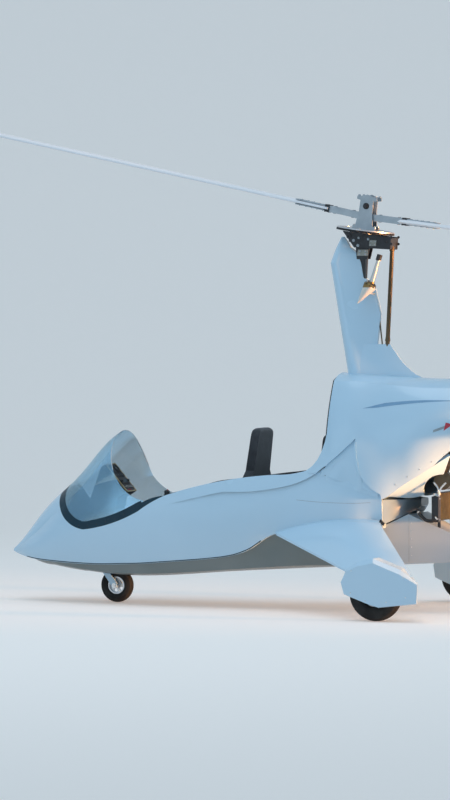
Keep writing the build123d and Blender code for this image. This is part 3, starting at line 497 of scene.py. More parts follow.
def side_ribbon(shape, tree, points, width, side, lift=0.0006):
    # A thin strip of the given width along side-view points, laid on the skin
    line = smooth_line([(x, 0, z) for x, z in points], 8)
    hits = [side_hit(tree, p.x, p.z, side) for p in line]
    hits = [hit for hit in hits if hit]
    rings = []
    for i, (place, normal) in enumerate(hits):
        way = hits[min(i + 1, len(hits) - 1)][0] - hits[max(i - 1, 0)][0]
        across = way.cross(normal)
        if across.length < 1e-9:
            continue
        half = across.normalized() * width / 2
        up = normal * lift
        rings.append([place - half + up, place + half + up, place + half - up, place - half - up])
    if rings:
        shape.loft(rings)


def side_patch(shape, tree, low_line, high_line, side):
    # A filled marking between two side-view lines of equal length, laid on the skin
    rows = []
    for (x0, z0), (x1, z1) in zip(low_line, high_line):
        hits = [side_hit(tree, x0 + t * (x1 - x0), z0 + t * (z1 - z0), side) for t in (0, 0.25, 0.5, 0.75, 1)]
        if not all(hits):
            return
        rows.append([place + normal * 0.0008 for place, normal in hits])
    shape.sheet(rows)


# Rotor: dark sleeves at the blade roots, strap bolts, and bolts through the hub bar
for side, end in ((1, "front"), (-1, "rear")):
    arm = ROTOR @ Matrix.Translation((0, 0, -UNDERSLING)) @ Matrix.Rotation(radians(-side * CONE), 4, "Y")
    sleeve = Shape(arm)
    for near, far, half_y, half_z in ((0.256, 0.287, 0.034, 0.0235), (0.256, 0.260, 0.0355, 0.025),
                                      (0.283, 0.287, 0.0355, 0.025)):
        x0, x1 = sorted((side * near, side * far))
        sleeve.box((x0, -half_y, -half_z), (x1, half_y, half_z))
    sleeve.make(f"blade_sleeve_{end}", black, "rotor")
    bolts = Shape(arm)
    # Rows of places along the arm, half spacing, height, radius, and the height of the heads above and below
    for places, y_out, z_out, radius, above, below in (
            ((0.305, 0.345, 0.385, 0.425, 0.470), 0.016, 0.0190, 0.0050, 0.0026, 0.0030),
            ((0.095, 0.225), 0.014, 0.0210, 0.0060, 0.0038, 0.0042)):
        for x in places:
            for y in (-y_out, y_out):
                bolts.bolt((side * x, y, z_out), (0, 0, 1), radius, above)
                bolts.bolt((side * x, y, -z_out), (0, 0, -1), radius, below)
    bolts.make(f"strap_bolts_{end}", grey_alloy, "rotor")
    trims = Shape(arm)
    x0, x1 = sorted((side * 4.238, side * 4.2505))
    trims.plate([(x0, -0.0105), (x1, -0.0105), (x1, 0.0105), (x0, 0.0105)], -side * 0.075, side * 0.035)
    trims.make(f"blade_tip_cap_{end}", black, "rotor")

# Rotor head: teeter bolt, stops, feet bolts, ring gear teeth
teeter = Shape(HEAD)
for side in (1, -1):
    teeter.rod((0, side * 0.046, 0), (0, side * 0.049, 0), 0.021)
    teeter.rod((0, side * 0.049, 0), (0, side * 0.060, 0), 0.0165, sides=6)
    teeter.rod((0, side * 0.060, 0), (0, side * 0.067, 0), 0.0095)
teeter.make("teeter_bolt_ends", black, "rotor_head")
stops = Shape(HEAD)
for x in (-0.056, 0.056):
    for y in (-0.041, 0.041):
        stops.rod((x, y, 0.062), (x, y, 0.071), 0.0095, 0.0075)
stops.make("teeter_stops", grey_alloy, "rotor_head")
RING = HEAD @ Matrix.Translation((0, 0, -RING_DROP))
feet = Shape(RING)
for x in (-0.071, -0.053, 0.053, 0.071):
    for y in (-0.037, 0.037):
        feet.bolt((x, y, 0.029), (0, 0, 1), 0.0058, 0.0060)
for c, s in around(6, 0.5):
    feet.bolt((0.118 * c, 0.118 * s, 0.007), (0, 0, 1), 0.0055, 0.0050)
feet.make("head_bolts", bright, "rotor_head")

# Toothed rim of the ring gear, four points a tooth
TEETH = 118
teeth = Shape(RING)
rings = []
for i, (c, s) in enumerate(around(4 * TEETH)):
    reach = 0.1905 if i % 4 in (1, 2) else 0.1865
    section = ((reach, -0.0115), (reach, 0.0020), (0.172, 0.0020), (0.172, -0.0115))
    rings.append([(r * c, r * s, z) for r, z in section])
teeth.loft(rings, True)
teeth.make("ring_gear_teeth", black, "rotor_head")

# Head frame: side bolts and plates, roll and pitch pivots
bolts = Shape()
dark_bolts = Shape()
plates = Shape()
for side in (1, -1):
    for x, z, r in ((0.078, 2.412, 0.0070), (0.0425, 2.4284, 0.0058), (0.048, 2.379, 0.0072),
                    (-0.0235, 2.420, 0.0060)):
        bolts.bolt((x, side * 0.070, z), (0, side, 0), r, 0.0060)
    for x, z in ((-0.150, 2.400), (-0.182, 2.432), (-0.182, 2.388)):
        dark_bolts.bolt((x, side * 0.070, z), (0, side, 0), 0.0065, 0.0060)
    plates.plate([(-0.030, 2.375), (-0.078, 2.375), (-0.082, 2.412), (-0.034, 2.414)],
                 side * 0.070, side * 0.0735)
    plates.plate([(-0.008, 2.312), (0.068, 2.312), (0.060, 2.352), (-0.012, 2.352)],
                 side * 0.033, side * 0.0365)
    for x, z in ((0.008, 2.322), (0.050, 2.322), (0.008, 2.342), (0.046, 2.342)):
        bolts.bolt((x, side * 0.0365, z), (0, side, 0), 0.0052, 0.0050)
    for x, z in ((-0.040, 2.383), (-0.070, 2.383), (-0.044, 2.405), (-0.074, 2.405)):
        bolts.screw((x, side * 0.0735, z), (0, side, 0), 0.0035, 0.0022)
bolts.make("head_frame_bolts", grey_alloy, "airframe")
dark_bolts.make("head_frame_nuts", black, "airframe")
plates.make("head_frame_plates", plate_metal, "airframe")
bearings = Shape(HEAD)
for side in (1, -1):
    bearings.lathe([(0.006, 0.0), (0.017, 0.0), (0.017, 0.004), (0.014, 0.007), (0.006, 0.007)],
                   (0.084, side * 0.070, -0.208), (0, side, 0), 32, True)
bearings.make("head_pivots", black, "airframe")

# Control rods: rod ends with lock nuts
ends = Shape()
rod_low = Vector((-0.131, 0, 1.705))
rod_high = Vector((-0.165, 0, 2.372))
way = (rod_high - rod_low).normalized()
for t in (0.955, 0.075):
    place = rod_low.lerp(rod_high, t)
    ends.rod(place, place + 0.012 * way, 0.0190, sides=6)
    ends.rod(place + 0.012 * way, place + 0.030 * way, 0.0165, 0.0145)
ends.make("control_rod_nuts", bronze, "airframe")

# Prerotator: one procedural finish by height, from pale cone to brass collar to dark joint
pre, tree, shader = new_material("prerotator_finish")
height = spread(tree, own_place(tree)[1]["Z"], 0.0, 1.0, 2.0, 2.4)
feed(tree, shader, {
    "Base Color": ramp(tree, height, [(0.0, (0.72, 0.70, 0.64)), (0.262, (0.30, 0.21, 0.09)),
                                      (0.352, (0.62, 0.61, 0.58)), (0.700, (0.03, 0.03, 0.032))], "CONSTANT"),
    "Metallic": ramp(tree, height, [(0.0, (0.0, 0.0, 0.0)), (0.262, (0.9, 0.9, 0.9)),
                                    (0.352, (0.8, 0.8, 0.8)), (0.700, (0.3, 0.3, 0.3))], "CONSTANT"),
    "Roughness": spread(tree, noise(tree, 60.0, 3.0), 0.28, 0.46),
})
dress("prerotator", pre)
collar = Shape()
a = Vector((-0.046, 0.100, 2.116))
b = Vector((-0.058, 0.100, 2.132))
way = (b - a).normalized()
u, v = basis(way)
for c, s in around(8, 0.5):
    out = c * u + s * v
    spot = a.lerp(b, 0.5) + 0.0355 * out
    collar.rod(spot, spot + 0.0035 * out, 0.0040, sides=12)
    collar.bolt(b + 0.028 * out, way, 0.0042, 0.0045, False)
collar.make("prerotator_screws", black, "airframe")

# Instrument pod: face, edge, gauges, switches and radio on the sloping front
u = Vector((0.156, 0, 0.180)).normalized()
PANEL = Matrix((
    (0, u.x, -u.z, 1.758),
    (-1, 0, 0, 0),
    (0, u.z, u.x, 0.832),
    (0, 0, 0, 1),
))
face = Shape(PANEL)
face.box((-0.072, -0.113, -0.002), (0.072, 0.113, 0.0022))
face.make("panel_face", gauge_face, "airframe")
edge = Shape(PANEL)
for x0, y0, x1, y1 in ((-0.079, -0.119, -0.072, 0.119), (0.072, -0.119, 0.079, 0.119),
                       (-0.079, 0.113, 0.079, 0.119), (-0.079, -0.119, 0.079, -0.113)):
    edge.box((x0, y0, -0.002), (x1, y1, 0.0050))
edge.make("panel_edge", panel_tan, "airframe")
bezels = Shape(PANEL)
dials = Shape(PANEL)
marks = Shape(PANEL)


def mark(outline, x, y, angle, z0, z1):
    # A thin flat mark, turned about the middle of its dial
    c, s = cos(radians(angle)), sin(radians(angle))
    marks.loft([[(x + a * c - b * s, y + a * s + b * c, z) for a, b in outline] for z in (z0, z1)])


def dial(x, y, r, needle):
    bezels.lathe([(r, 0.0), (r, 0.0048), (r - 0.0022, 0.0060), (r - 0.0040, 0.0040), (r - 0.0040, 0.0)],
                 (x, y, 0.0022), (0, 0, 1), 40, True)
    dials.rod((x, y, 0.0022), (x, y, 0.0034), r - 0.003, sides=40)
    for i in range(11):
        r0 = r - (0.0095 if i % 2 == 0 else 0.0080)
        r1 = r - 0.0050
        mark([(r0, -0.0005), (r1, -0.0005), (r1, 0.0005), (r0, 0.0005)], x, y, 225 - 27 * i, 0.0034, 0.0039)
    mark([(-0.004, -0.0009), (r - 0.010, -0.0003), (r - 0.010, 0.0003), (-0.004, 0.0009)], x, y, needle,
         0.0040, 0.0046)
    marks.rod((x, y, 0.0034), (x, y, 0.0050), 0.0022, sides=16)


for x, y, r, needle in ((-0.036, 0.076, 0.031, 215), (0.036, 0.076, 0.031, 140), (-0.050, 0.021, 0.018, 200),
                        (-0.0165, 0.021, 0.015, 90), (0.0165, 0.021, 0.015, 120), (0.050, 0.021, 0.018, 60)):
    dial(x, y, r, needle)
bezels.make("gauge_bezels", black, "airframe")
dials.make("gauge_dials", gauge_face, "airframe")
marks.make("gauge_marks", gauge_mark, "airframe")
radio = Shape(PANEL)
radio.box((-0.060, -0.052, 0.002), (0.060, -0.014, 0.0085))
for x in (-0.050, 0.050):
    radio.rod((x, -0.033, 0.0085), (x, -0.033, 0.0200), 0.0075, 0.0068, sides=28)
radio.make("radio_unit", plastic, "airframe")
shown = Shape(PANEL)
shown.box((-0.034, -0.044, 0.0083), (0.034, -0.022, 0.0092))
shown.make("radio_display", trim, "airframe")
switches = Shape(PANEL)
for i in range(6):
    x = -0.055 + 0.022 * i
    switches.rod((x, -0.082, 0.0022), (x, -0.082, 0.0062), 0.0060, sides=6)
    switches.rod((x, -0.082, 0.0062), (x, -0.079, 0.0190), 0.0020, 0.0032, sides=14)
for x, y in ((-0.066, 0.106), (0.066, 0.106), (-0.066, -0.106), (0.066, -0.106), (-0.066, 0.0), (0.066, 0.0)):
    switches.screw((x, y, 0.0022), (0, 0, 1), 0.0032, 0.0020)
switches.make("panel_switches", bright, "airframe")
lamps = Shape(PANEL)
for x in (-0.040, -0.020, 0.0):
    lamps.rod((x, -0.103, 0.0022), (x, -0.103, 0.0052), 0.0042, 0.0036, sides=18)
lamps.make("warning_lamps", mark_red, "airframe")

# Sticks: bellows at the floor, ribbed grips and thumb buttons
for name, foot, grip, top in (("front", (1.402, 0.308), (1.419, 0.620), (1.425, 0.740)),
                              ("rear", (0.694, 0.418), (0.698, 0.720), (0.700, 0.840))):
    low = Vector((foot[0], 0, foot[1]))
    a = Vector((grip[0], 0, grip[1]))
    b = Vector((top[0], 0, top[1]))
    way = (b - a).normalized()
    boot = Shape()
    profile = [(0.0, 0.0), (0.052, 0.0), (0.052, 0.006)]
    for i in range(5):
        r = 0.046 - 0.0068 * i
        profile += [(r, 0.010 + 0.014 * i), (r - 0.006, 0.017 + 0.014 * i)]
    profile += [(0.012, 0.084), (0.0, 0.084)]
    boot.lathe(profile, low, (0.03, 0, 1), 40)
    boot.make(f"{name}_stick_boot", hose_rubber, "airframe")
    grips = Shape()
    for i in range(9):
        c = a.lerp(b, 0.10 + 0.085 * i)
        grips.lathe([(0.0188, -0.0030), (0.0204, -0.0015), (0.0204, 0.0015), (0.0188, 0.0030)], c, way, 36)
    grips.lathe([(0.019, 0.0), (0.0185, 0.006), (0.014, 0.013), (0.006, 0.017), (0.0, 0.0175)], b, way, 36)
    grips.make(f"{name}_stick_grip", hose_rubber, "airframe")
    button = Shape()
    button.rod(b + Vector((-0.006, 0.004, 0.014)), b + Vector((-0.007, 0.004, 0.021)), 0.0045, 0.0040, sides=20)
    button.make(f"{name}_stick_button", mark_red, "airframe")

# Throttle and brake quadrant at the front pilot's left hand
quadrant = Shape()
quadrant.plate([(1.010, 0.470), (1.190, 0.485), (1.180, 0.525), (1.130, 0.552), (1.060, 0.548), (1.020, 0.520)],
               0.238, 0.268)
quadrant.make("throttle_quadrant", plastic, "airframe")
levers = Shape()
for x, lean, y in ((1.075, 0.020, 0.246), (1.125, -0.012, 0.260)):
    levers.rod((x, y, 0.520), (x + lean, y, 0.612), 0.0042, sides=16)
    levers.rod((x + lean - 0.0005, y, 0.606), (x + lean, y, 0.612), 0.0075, sides=20)
levers.make("throttle_levers", steel, "airframe")
knobs = Shape()
for x, y in ((1.095, 0.246), (1.113, 0.260)):
    knobs.lathe([(0.0, 0.0), (0.009, 0.002), (0.0135, 0.010), (0.0125, 0.020), (0.007, 0.026), (0.0, 0.027)],
                (x, y, 0.610), (0, 0, 1), 28)
knobs.make("throttle_knobs", hose_rubber, "airframe")
treads = Shape()
for x, half in ((2.010, 0.120), (1.395, 0.250)):
    for side in (1, -1):
        y = side * (0.070 if x > 1.9 else 0.262)
        for i in range(6):
            z = 0.345 + 0.020 * i
            treads.box((x - 0.0105, y - 0.025, z), (x - 0.0078, y + 0.025, z + 0.009))
treads.make("pedal_treads", hose_rubber, "airframe")


# Wheels: grooved tyres in place of the plain ones, rim bolts, valves and brakes
GROOVES = (-0.52, -0.18, 0.18, 0.52)
RIBS = 60


def tyre_mesh(name, hub, radius, width, rim, node, body):
    half = width / 2
    shoulder = radius - 0.28 * width
    flank = [(rim - 0.001, 0.62), (rim + 0.004, 0.80), (rim + 0.008, 0.90)]
    for i in range(1, 8):
        t = i / 8
        flank.append((rim + 0.008 + t * (shoulder - rim - 0.008),
                      0.90 + 0.10 * sin(pi * min(1.0, t * 1.1)) - 0.03 * t))
    profile = [(r, -half * y) for r, y in flank]
    for i in range(49):
        y = -0.87 + 1.74 * i / 48
        r = shoulder + (radius - shoulder) * sqrt(max(0.0, 1 - (y / 0.87) ** 2))
        if any(abs(y - groove) < 0.045 for groove in GROOVES):
            r -= 0.0034
        profile.append((r, half * y))
    profile += [(r, half * y) for r, y in reversed(flank)]
    shape = Shape()
    shape.lathe(profile, hub, (0, 1, 0), 96, True)
    for side in (1, -1):
        for r in (rim + 0.020, rim + 0.026):
            shape.lathe([(r - 0.0012, 0.0), (r, 0.0012), (r + 0.0012, 0.0)],
                        hub + Vector((0, side * half * 0.985, 0)), (0, side, 0), 72)
    r0 = shoulder - 0.004
    r1 = shoulder + 0.006
    for c, s in around(RIBS):
        for side in (1, -1):
            shape.rod(hub + Vector((r0 * c, side * half * 0.90, r0 * s)),
                      hub + Vector((r1 * c, side * half * 0.80, r1 * s)), 0.0016, 0.0010, sides=6)
    obj = shape.make(name, rubber, body, 40.0)
    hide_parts(node)


# Rows of hub, tyre radius, tyre width, rim radius, the plain tyre, its body and the bolts in the rim
WHEELS = [
    (MAIN_HUB, 0.175, 0.096, 0.082, "main_tyre_left", "main_wheel_left", 6),
    (Vector((MAIN_HUB.x, -MAIN_HUB.y, MAIN_HUB.z)), 0.175, 0.096, 0.082, "main_tyre_right",
     "main_wheel_right", 6),
    (NOSE_HUB, 0.114, 0.070, 0.059, "nose_tyre", "nose_wheel", 5),
]
for hub, radius, width, rim, node, body, count in WHEELS:
    tyre_mesh(f"{body}_tread", hub, radius, width, rim, node, body)
    nuts = Shape()
    for side in (1, -1):
        for c, s in around(count, 0.5):
            spot = hub + Vector((0.62 * rim * c, side * 0.006, 0.62 * rim * s))
            nuts.bolt(spot, (0, side, 0), 0.0052, 0.0060)
    nuts.rod(hub + Vector((0.0, 0.010, rim - 0.006)), hub + Vector((0.0, 0.034, rim - 0.012)), 0.0035, 0.0030,
             sides=14)
    nuts.make(f"{body}_rim_bolts", bright, body)
for side, body in ((1, "main_wheel_left"), (-1, "main_wheel_right")):
    disc = Shape()
    place = Vector((MAIN_HUB.x, side * (MAIN_HUB.y - 0.0335), MAIN_HUB.z))
    disc.lathe([(0.036, -0.0025), (0.070, -0.0025), (0.070, 0.0025), (0.036, 0.0025)], place,
               (0, 1, 0), 64, True)
    disc.make(f"{body}_brake_disc", steel, body)
    caliper = Shape()
    x, z = MAIN_HUB.x, MAIN_HUB.z
    y0, y1 = sorted((side * (MAIN_HUB.y - 0.060), side * (MAIN_HUB.y - 0.042)))
    outline = [(x - 0.030, z + 0.040), (x + 0.030, z + 0.040), (x + 0.036, z + 0.062), (x - 0.036, z + 0.062)]
    caliper.plate(outline, y0, y1)
    for dx in (-0.020, 0.020):
        caliper.bolt((x + dx, side * (MAIN_HUB.y - 0.060), z + 0.050), (0, -side, 0), 0.0055, 0.0060)
    caliper.make(f"{body}_caliper", engine_alloy, "airframe")
    cap = Shape()
    cap.bolt((x, side * (MAIN_HUB.y + 0.046), z), (0, side, 0), 0.0150, 0.0120)
    cap.make(f"{body}_axle_nut", bright, "airframe")
    stud = Shape()
    stud.screw((-0.412, side * 0.930, 0.0930), (0, side * 0.4, -1), 0.0060, 0.0040)
    for sx, sz in ((-0.230, 0.180), (-0.235, 0.320), (-0.600, 0.160), (-0.585, 0.285), (-0.470, 0.128),
                   (-0.330, 0.132)):
        stud.screw((sx, side * 0.9535, sz), (0, side, 0), 0.0038, 0.0018)
    stud.make(f"{body}_spat_screws", bright, "airframe")

nuts = Shape()
for side in (1, -1):
    nuts.bolt((NOSE_HUB.x, side * 0.058, NOSE_HUB.z), (0, side, 0), 0.0125, 0.0090)
    for x in (1.850, 1.882):
        nuts.bolt((x, side * 0.051, 0.231), (0, side, 0), 0.0050, 0.0050)
nuts.make("nose_axle_nuts", bright, "nose_fork")

tail = Shape()
flank = [(0.0062, 0.0165), (0.030, 0.0165), (0.032, 0.0120), (0.046, 0.0120), (0.048, 0.0165), (0.064, 0.0170)]
profile = [(r, -y) for r, y in flank]
for i in range(13):
    angle = radians(-90 + 15 * i)
    profile.append((0.064 + 0.011 * cos(angle), 0.0165 * sin(angle)))
profile += reversed(flank)
tail.lathe(profile, TAIL_HUB, (0, 1, 0), 72, True)
obj = tail.make("tail_wheel_tyre", rubber, "tail_wheel", 40.0)
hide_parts("tail_wheel")
hub_disc = Shape()
for side in (1, -1):
    hub_disc.lathe([(0.0066, 0.0), (0.0455, 0.0), (0.0455, 0.0035), (0.018, 0.0055), (0.0066, 0.0055)],
                   TAIL_HUB + Vector((0, side * 0.0118, 0)), (0, side, 0), 48, True)
hub_disc.make("tail_wheel_hub", plastic, "tail_wheel")
nuts = Shape()
for side in (1, -1):
    nuts.bolt(TAIL_HUB + Vector((0, side * 0.030, 0)), (0, side, 0), 0.0095, 0.0070)
    for x in (-0.018, 0.018):
        nuts.bolt(TAIL_HUB + Vector((x, side * 0.030, 0.110)), (0, side, 0), 0.0050, 0.0050)
nuts.make("tail_wheel_nuts", bright, "airframe")

# Propeller: leading-edge strips laid on the blades, hub bolts
# Rows of radius, chord, thickness and pitch, in millimetres and degrees
PROP_ROWS = [(40, 66, 44, 60), (150, 92, 30, 48), (320, 132, 20, 34), (600, 118, 13, 22), (860, 62, 6, 15)]


def prop_at(radius, along, up):
    chord, thick, pitch = [between([(row[0], row[n]) for row in PROP_ROWS], radius) for n in (1, 2, 3)]
    a = along * chord
    b = up * thick
    c, s = cos(radians(pitch)), sin(radians(pitch))
    return Vector((a * s + b * c, a * c - b * s, radius)) / 1000


strips = Shape()
EDGE_SECTION = ((0.36, 0.30), (0.455, 0.17), (0.455, -0.17), (0.36, -0.30), (0.43, 0.0))
for blade in range(3):
    turn = Matrix.Translation(PROP_HUB) @ Matrix.Rotation(2 * pi * blade / 3, 4, "X")
    strips.loft([[turn @ prop_at(470 + 19 * i, a, b) for a, b in EDGE_SECTION] for i in range(21)])
strips.make("propeller_edge_strips", steel, "propeller")
nuts = Shape()
for c, s in around(6, 0.5):
    nuts.bolt(PROP_HUB + Vector((0.045, 0.052 * c, 0.052 * s)), (1, 0, 0), 0.0065, 0.0080)
nuts.make("propeller_hub_bolts", bright, "propeller")


# Body skins used to lay seams, screws and markings
hull_skin = skin("hull", "belly_pan")
cowl_skin = skin("engine_cowl")
band_skin = skin("windshield_frame")
tail_skin = skin("tail_fairing")
rudder_skin = skin("rudder")
tub_skin = skin("hull")
rim_skin = skin("bulkhead")


def screw_row(shape, tree, points, count, side, radius=0.0040, height=0.0018):
    line = [Vector((x, 0, z)) for x, z in points]
    lengths = [(b - a).length for a, b in zip(line, line[1:])]
    total = sum(lengths)
    for i in range(count):
        want = total * (i + 0.5) / count
        for a, b, length in zip(line, line[1:], lengths):
            if want <= length:
                break
            want -= length
        spot = a.lerp(b, min(1.0, want / length))
        hit = side_hit(tree, spot.x, spot.z, side)
        if hit:
            shape.screw(hit[0] - hit[1] * 0.0002, hit[1], radius, height)


def lowest(tree, x, z, side):
    # The height at which the skin starts, looked for from below near the height given
    for i in range(60):
        if side_hit(tree, x, z - 0.03 + 0.001 * i, side):
            return z - 0.03 + 0.001 * i
    return z


seams = Shape()
chine_shadow = Shape()
blends = Shape()
screws = Shape()
dark_screws = Shape()
marks = Shape()
shafts = Shape()
darts = Shape()
for side in (1, -1):
    # Hull: one level panel line below the cowl, and a dark strip along the chine as painted shadow under the
    # step there
    side_ribbon(seams, hull_skin, [(0.365, 0.728), (0.20, 0.716), (0.0, 0.712), (-0.130, 0.718)], 0.0022, side)
    edge = [(2.400, 0.297), (2.300, 0.284), (2.100, 0.272), (1.950, 0.268), (1.800, 0.268), (1.640, 0.274),
            (1.480, 0.283), (1.150, 0.312), (1.000, 0.325), (0.880, 0.343), (0.790, 0.368), (0.700, 0.400),
            (0.620, 0.452)]
    edge = [(x, lowest(tub_skin, x, z, side) + 0.0045) for x, z in edge]
    side_ribbon(chine_shadow, tub_skin, edge, 0.0060, side)
    # The hollow below the crest line is faired in one skin from the cowl down into the tub
    crest = smooth_line([(0.246, 0, 0.894), (0.200, 0, 0.928), (0.168, 0, 0.954), (0.100, 0, 1.010),
                         (0.030, 0, 1.074), (-0.030, 0, 1.130)], 5)
    rear = smooth_line([(-0.033, 0, 1.118), (-0.040, 0, 1.060), (-0.052, 0, 0.985), (-0.070, 0, 0.910),
                        (-0.096, 0, 0.858), (-0.140, 0, 0.812), (-0.196, 0, 0.778)], 4)
    # The edge between tub and cowl in side view, from the rear forward
    split = [(-0.205, 0.770), (-0.080, 0.808), (0.040, 0.845), (0.145, 0.877), (0.232, 0.907), (0.285, 0.925)]
    rows = []
    for i, p in enumerate(crest + rear):
        foot_z = between(split, p.x) - 0.030
        foot = side_hit(tub_skin, p.x, foot_z, side)
        over = side_hit(cowl_skin, min(p.x, 0.160), p.z + 0.008, side)
        under = side_hit(cowl_skin, min(p.x, 0.160), p.z - 0.008, side)
        if foot is None or over is None or under is None:
            continue
        low_y = foot[0].y * side + 0.0008
        if i < len(crest):
            high_y = over[0].y * side - 0.015 * min(1.0, max(0.0, (0.246 - p.x) / 0.100))
        else:
            high_y = under[0].y * side + 0.0020
        row = []
        for k in range(11):
            s = k / 10
            z = foot_z + (p.z - foot_z) * s
            y = low_y + (high_y - low_y) * s
            met = side_hit(cowl_skin, min(p.x, 0.160), z, side)
            if met and 0.2 < met[0].y * side < over[0].y * side - 0.010 and p.z - z > 0.004:
                y = max(y, met[0].y * side + 0.0015)
            rim = side_hit(rim_skin, 0.174, z, side)
            if rim and 0.150 < p.x < 0.205 and p.z - z > 0.003:
                y = max(y, rim[0].y * side + 0.0015)
            row.append(Vector((p.x, side * y, z)))
        rows.append(row)
    blends.sheet(rows)
    # Fasteners above the cowl's underside
    screw_row(screws, cowl_skin, [(-0.26, 0.815), (-0.45, 0.935), (-0.65, 1.062), (-0.88, 1.205)], 8, side)
    # Windshield frame fasteners
    screw_row(dark_screws, band_skin, [(2.128, 0.764), (2.042, 0.578), (1.960, 0.530), (1.903, 0.517)], 5, side,
              0.0036, 0.0016)
    screw_row(dark_screws, band_skin, [(1.903, 0.517), (1.800, 0.536), (1.690, 0.563), (1.494, 0.648)], 6, side,
              0.0036, 0.0016)
    # Tail fairing joint and screws
    side_ribbon(seams, tail_skin, [(-0.350, 0.628), (-0.350, 0.520), (-0.350, 0.420), (-0.350, 0.332)],
                0.0032, side)
    screw_row(screws, tail_skin, [(-0.366, 0.612), (-0.366, 0.480), (-0.366, 0.350)], 5, side)
    screw_row(screws, tail_skin, [(-0.60, 0.505), (-0.80, 0.440), (-0.96, 0.405)], 5, side)
    # Rudder: the outline of its trim tab
    side_ribbon(seams, rudder_skin, [(-2.405, 1.10), (-2.405, 0.90), (-2.405, 0.70)], 0.0022, side)
    side_ribbon(seams, rudder_skin, [(-2.405, 1.10), (-2.450, 1.10), (-2.500, 1.10)], 0.0022, side)
    side_ribbon(seams, rudder_skin, [(-2.405, 0.70), (-2.450, 0.70), (-2.503, 0.70)], 0.0022, side)
    # Generic swoosh and dart on the cowl
    count = 28
    low_line = []
    high_line = []
    for i in range(count + 1):
        t = i / count
        x = -0.075 - 0.585 * t
        z = 1.330 + 0.099 * t - 0.050 * t * t
        thick = 0.030 * (1 - t) ** 0.8 * min(1.0, 0.3 + 4 * t) + 0.0030
        low_line.append((x + 0.02 * (1 - t), z - 0.5 * thick))
        high_line.append((x - 0.03 * (1 - t), z + 0.5 * thick))
    side_patch(marks, cowl_skin, low_line, high_line, side)
    side_patch(shafts, cowl_skin, [(-0.545, 1.176), (-0.580, 1.188), (-0.618, 1.202)],
               [(-0.548, 1.192), (-0.584, 1.206), (-0.622, 1.220)], side)
    side_patch(darts, cowl_skin, [(-0.614, 1.188), (-0.640, 1.206), (-0.664, 1.222)],
               [(-0.626, 1.240), (-0.646, 1.236), (-0.665, 1.228)], side)
seams.make("panel_seams", seam_grey, "airframe", 60)
chine_shadow.make("chine_painted_shadow", trim, "airframe", 60)
blends.make("cowl_edge_fairing", white, "airframe", 80)
screws.make("panel_screws", bright, "airframe")
dark_screws.make("frame_screws", black, "airframe")
marks.make("cowl_swoosh", stripe_blue, "airframe", 80)
shafts.make("cowl_dart_shaft", seam_grey, "airframe", 80)
darts.make("cowl_dart", mark_red, "airframe", 80)

# Rounded front end of the belly pan, running up into the nose
snout = Shape()
rows = []
for i in range(11):
    t = i / 10
    half = 0.150 * (1 - 0.72 * t * t)
    depth = 0.0615 * (1 - t * t) ** 0.9
    rows.append([Vector((2.226 + 0.190 * t, half * s, 0.300 - depth * cos(pi / 2 * abs(s)) ** 0.8))
                 for s in (k / 8 - 1 for k in range(17))])
snout.sheet(rows)
snout.make("belly_pan_nose", belly, "airframe", 60)

# Coaming corners: the curved web that carries the coaming up into the cowl's front edge, creased at the lip
corner = Shape()
for side in (1, -1):
    levels = [0.896, 0.902, 0.908, 0.916, 0.924, 0.933, 0.944, 0.955, 0.970, 0.990, 1.012, 1.040, 1.075, 1.110,
              1.140, 1.170]
    free = [(0.884, 0.330), (0.908, 0.320), (0.922, 0.300), (0.948, 0.262), (0.990, 0.226), (1.045, 0.197),
            (1.110, 0.178), (1.170, 0.169)]
    flank = {z: abs(side_hit(cowl_skin, 0.150, z, side)[0].y) for z in (0.990, 1.040)}
    slope = (flank[1.040] - flank[0.990]) / 0.050
    far = abs(side_hit(hull_skin, 0.300, 0.900, side)[0].y)
    lean = (far - (flank[0.990] - 0.090 * slope)) / 0.150
    rows = []
    for z in levels:
        x_free = between(free, z)
        x_crest = min(0.235, max(0.161, 0.168 + (0.955 - z) / 0.053 * 0.067))
        high = flank[0.990] + slope * (z - 0.990)
        if z > 0.990:
            high = abs(side_hit(cowl_skin, 0.150, z, side)[0].y)
        x_start = x_crest if z < 0.955 else 0.156
        row = []
        for k in range(6):
            x = x_start + (x_free - x_start) * k / 5
            y = high + lean * (x - 0.150) * max(0.0, min(1.0, (1.040 - z) / 0.10)) - 0.0012
            row.append(Vector((x, side * (y - (0.004 if z < 0.900 else 0.0)), z)))
        rows.append(row)
    verts = [p for row in rows for p in row] + [p - Vector((0, side * 0.012, 0)) for row in rows for p in row]
    wide = 6
    size = len(rows) * wide
    faces = []
    for i in range(len(rows) - 1):
        for k in range(wide - 1):
            a, b, c, d = wide * i + k, wide * i + k + 1, wide * i + k + wide + 1, wide * i + k + wide
            faces += [(a, b, c, d), (size + d, size + c, size + b, size + a)]
        for a, b in ((wide * i, wide * i + wide), (wide * i + 2 * wide - 1, wide * i + wide - 1)):
            faces.append((a, b, size + b, size + a))
    corner.put(verts, faces)
corner.make("coaming_corners", white, "airframe", 40)

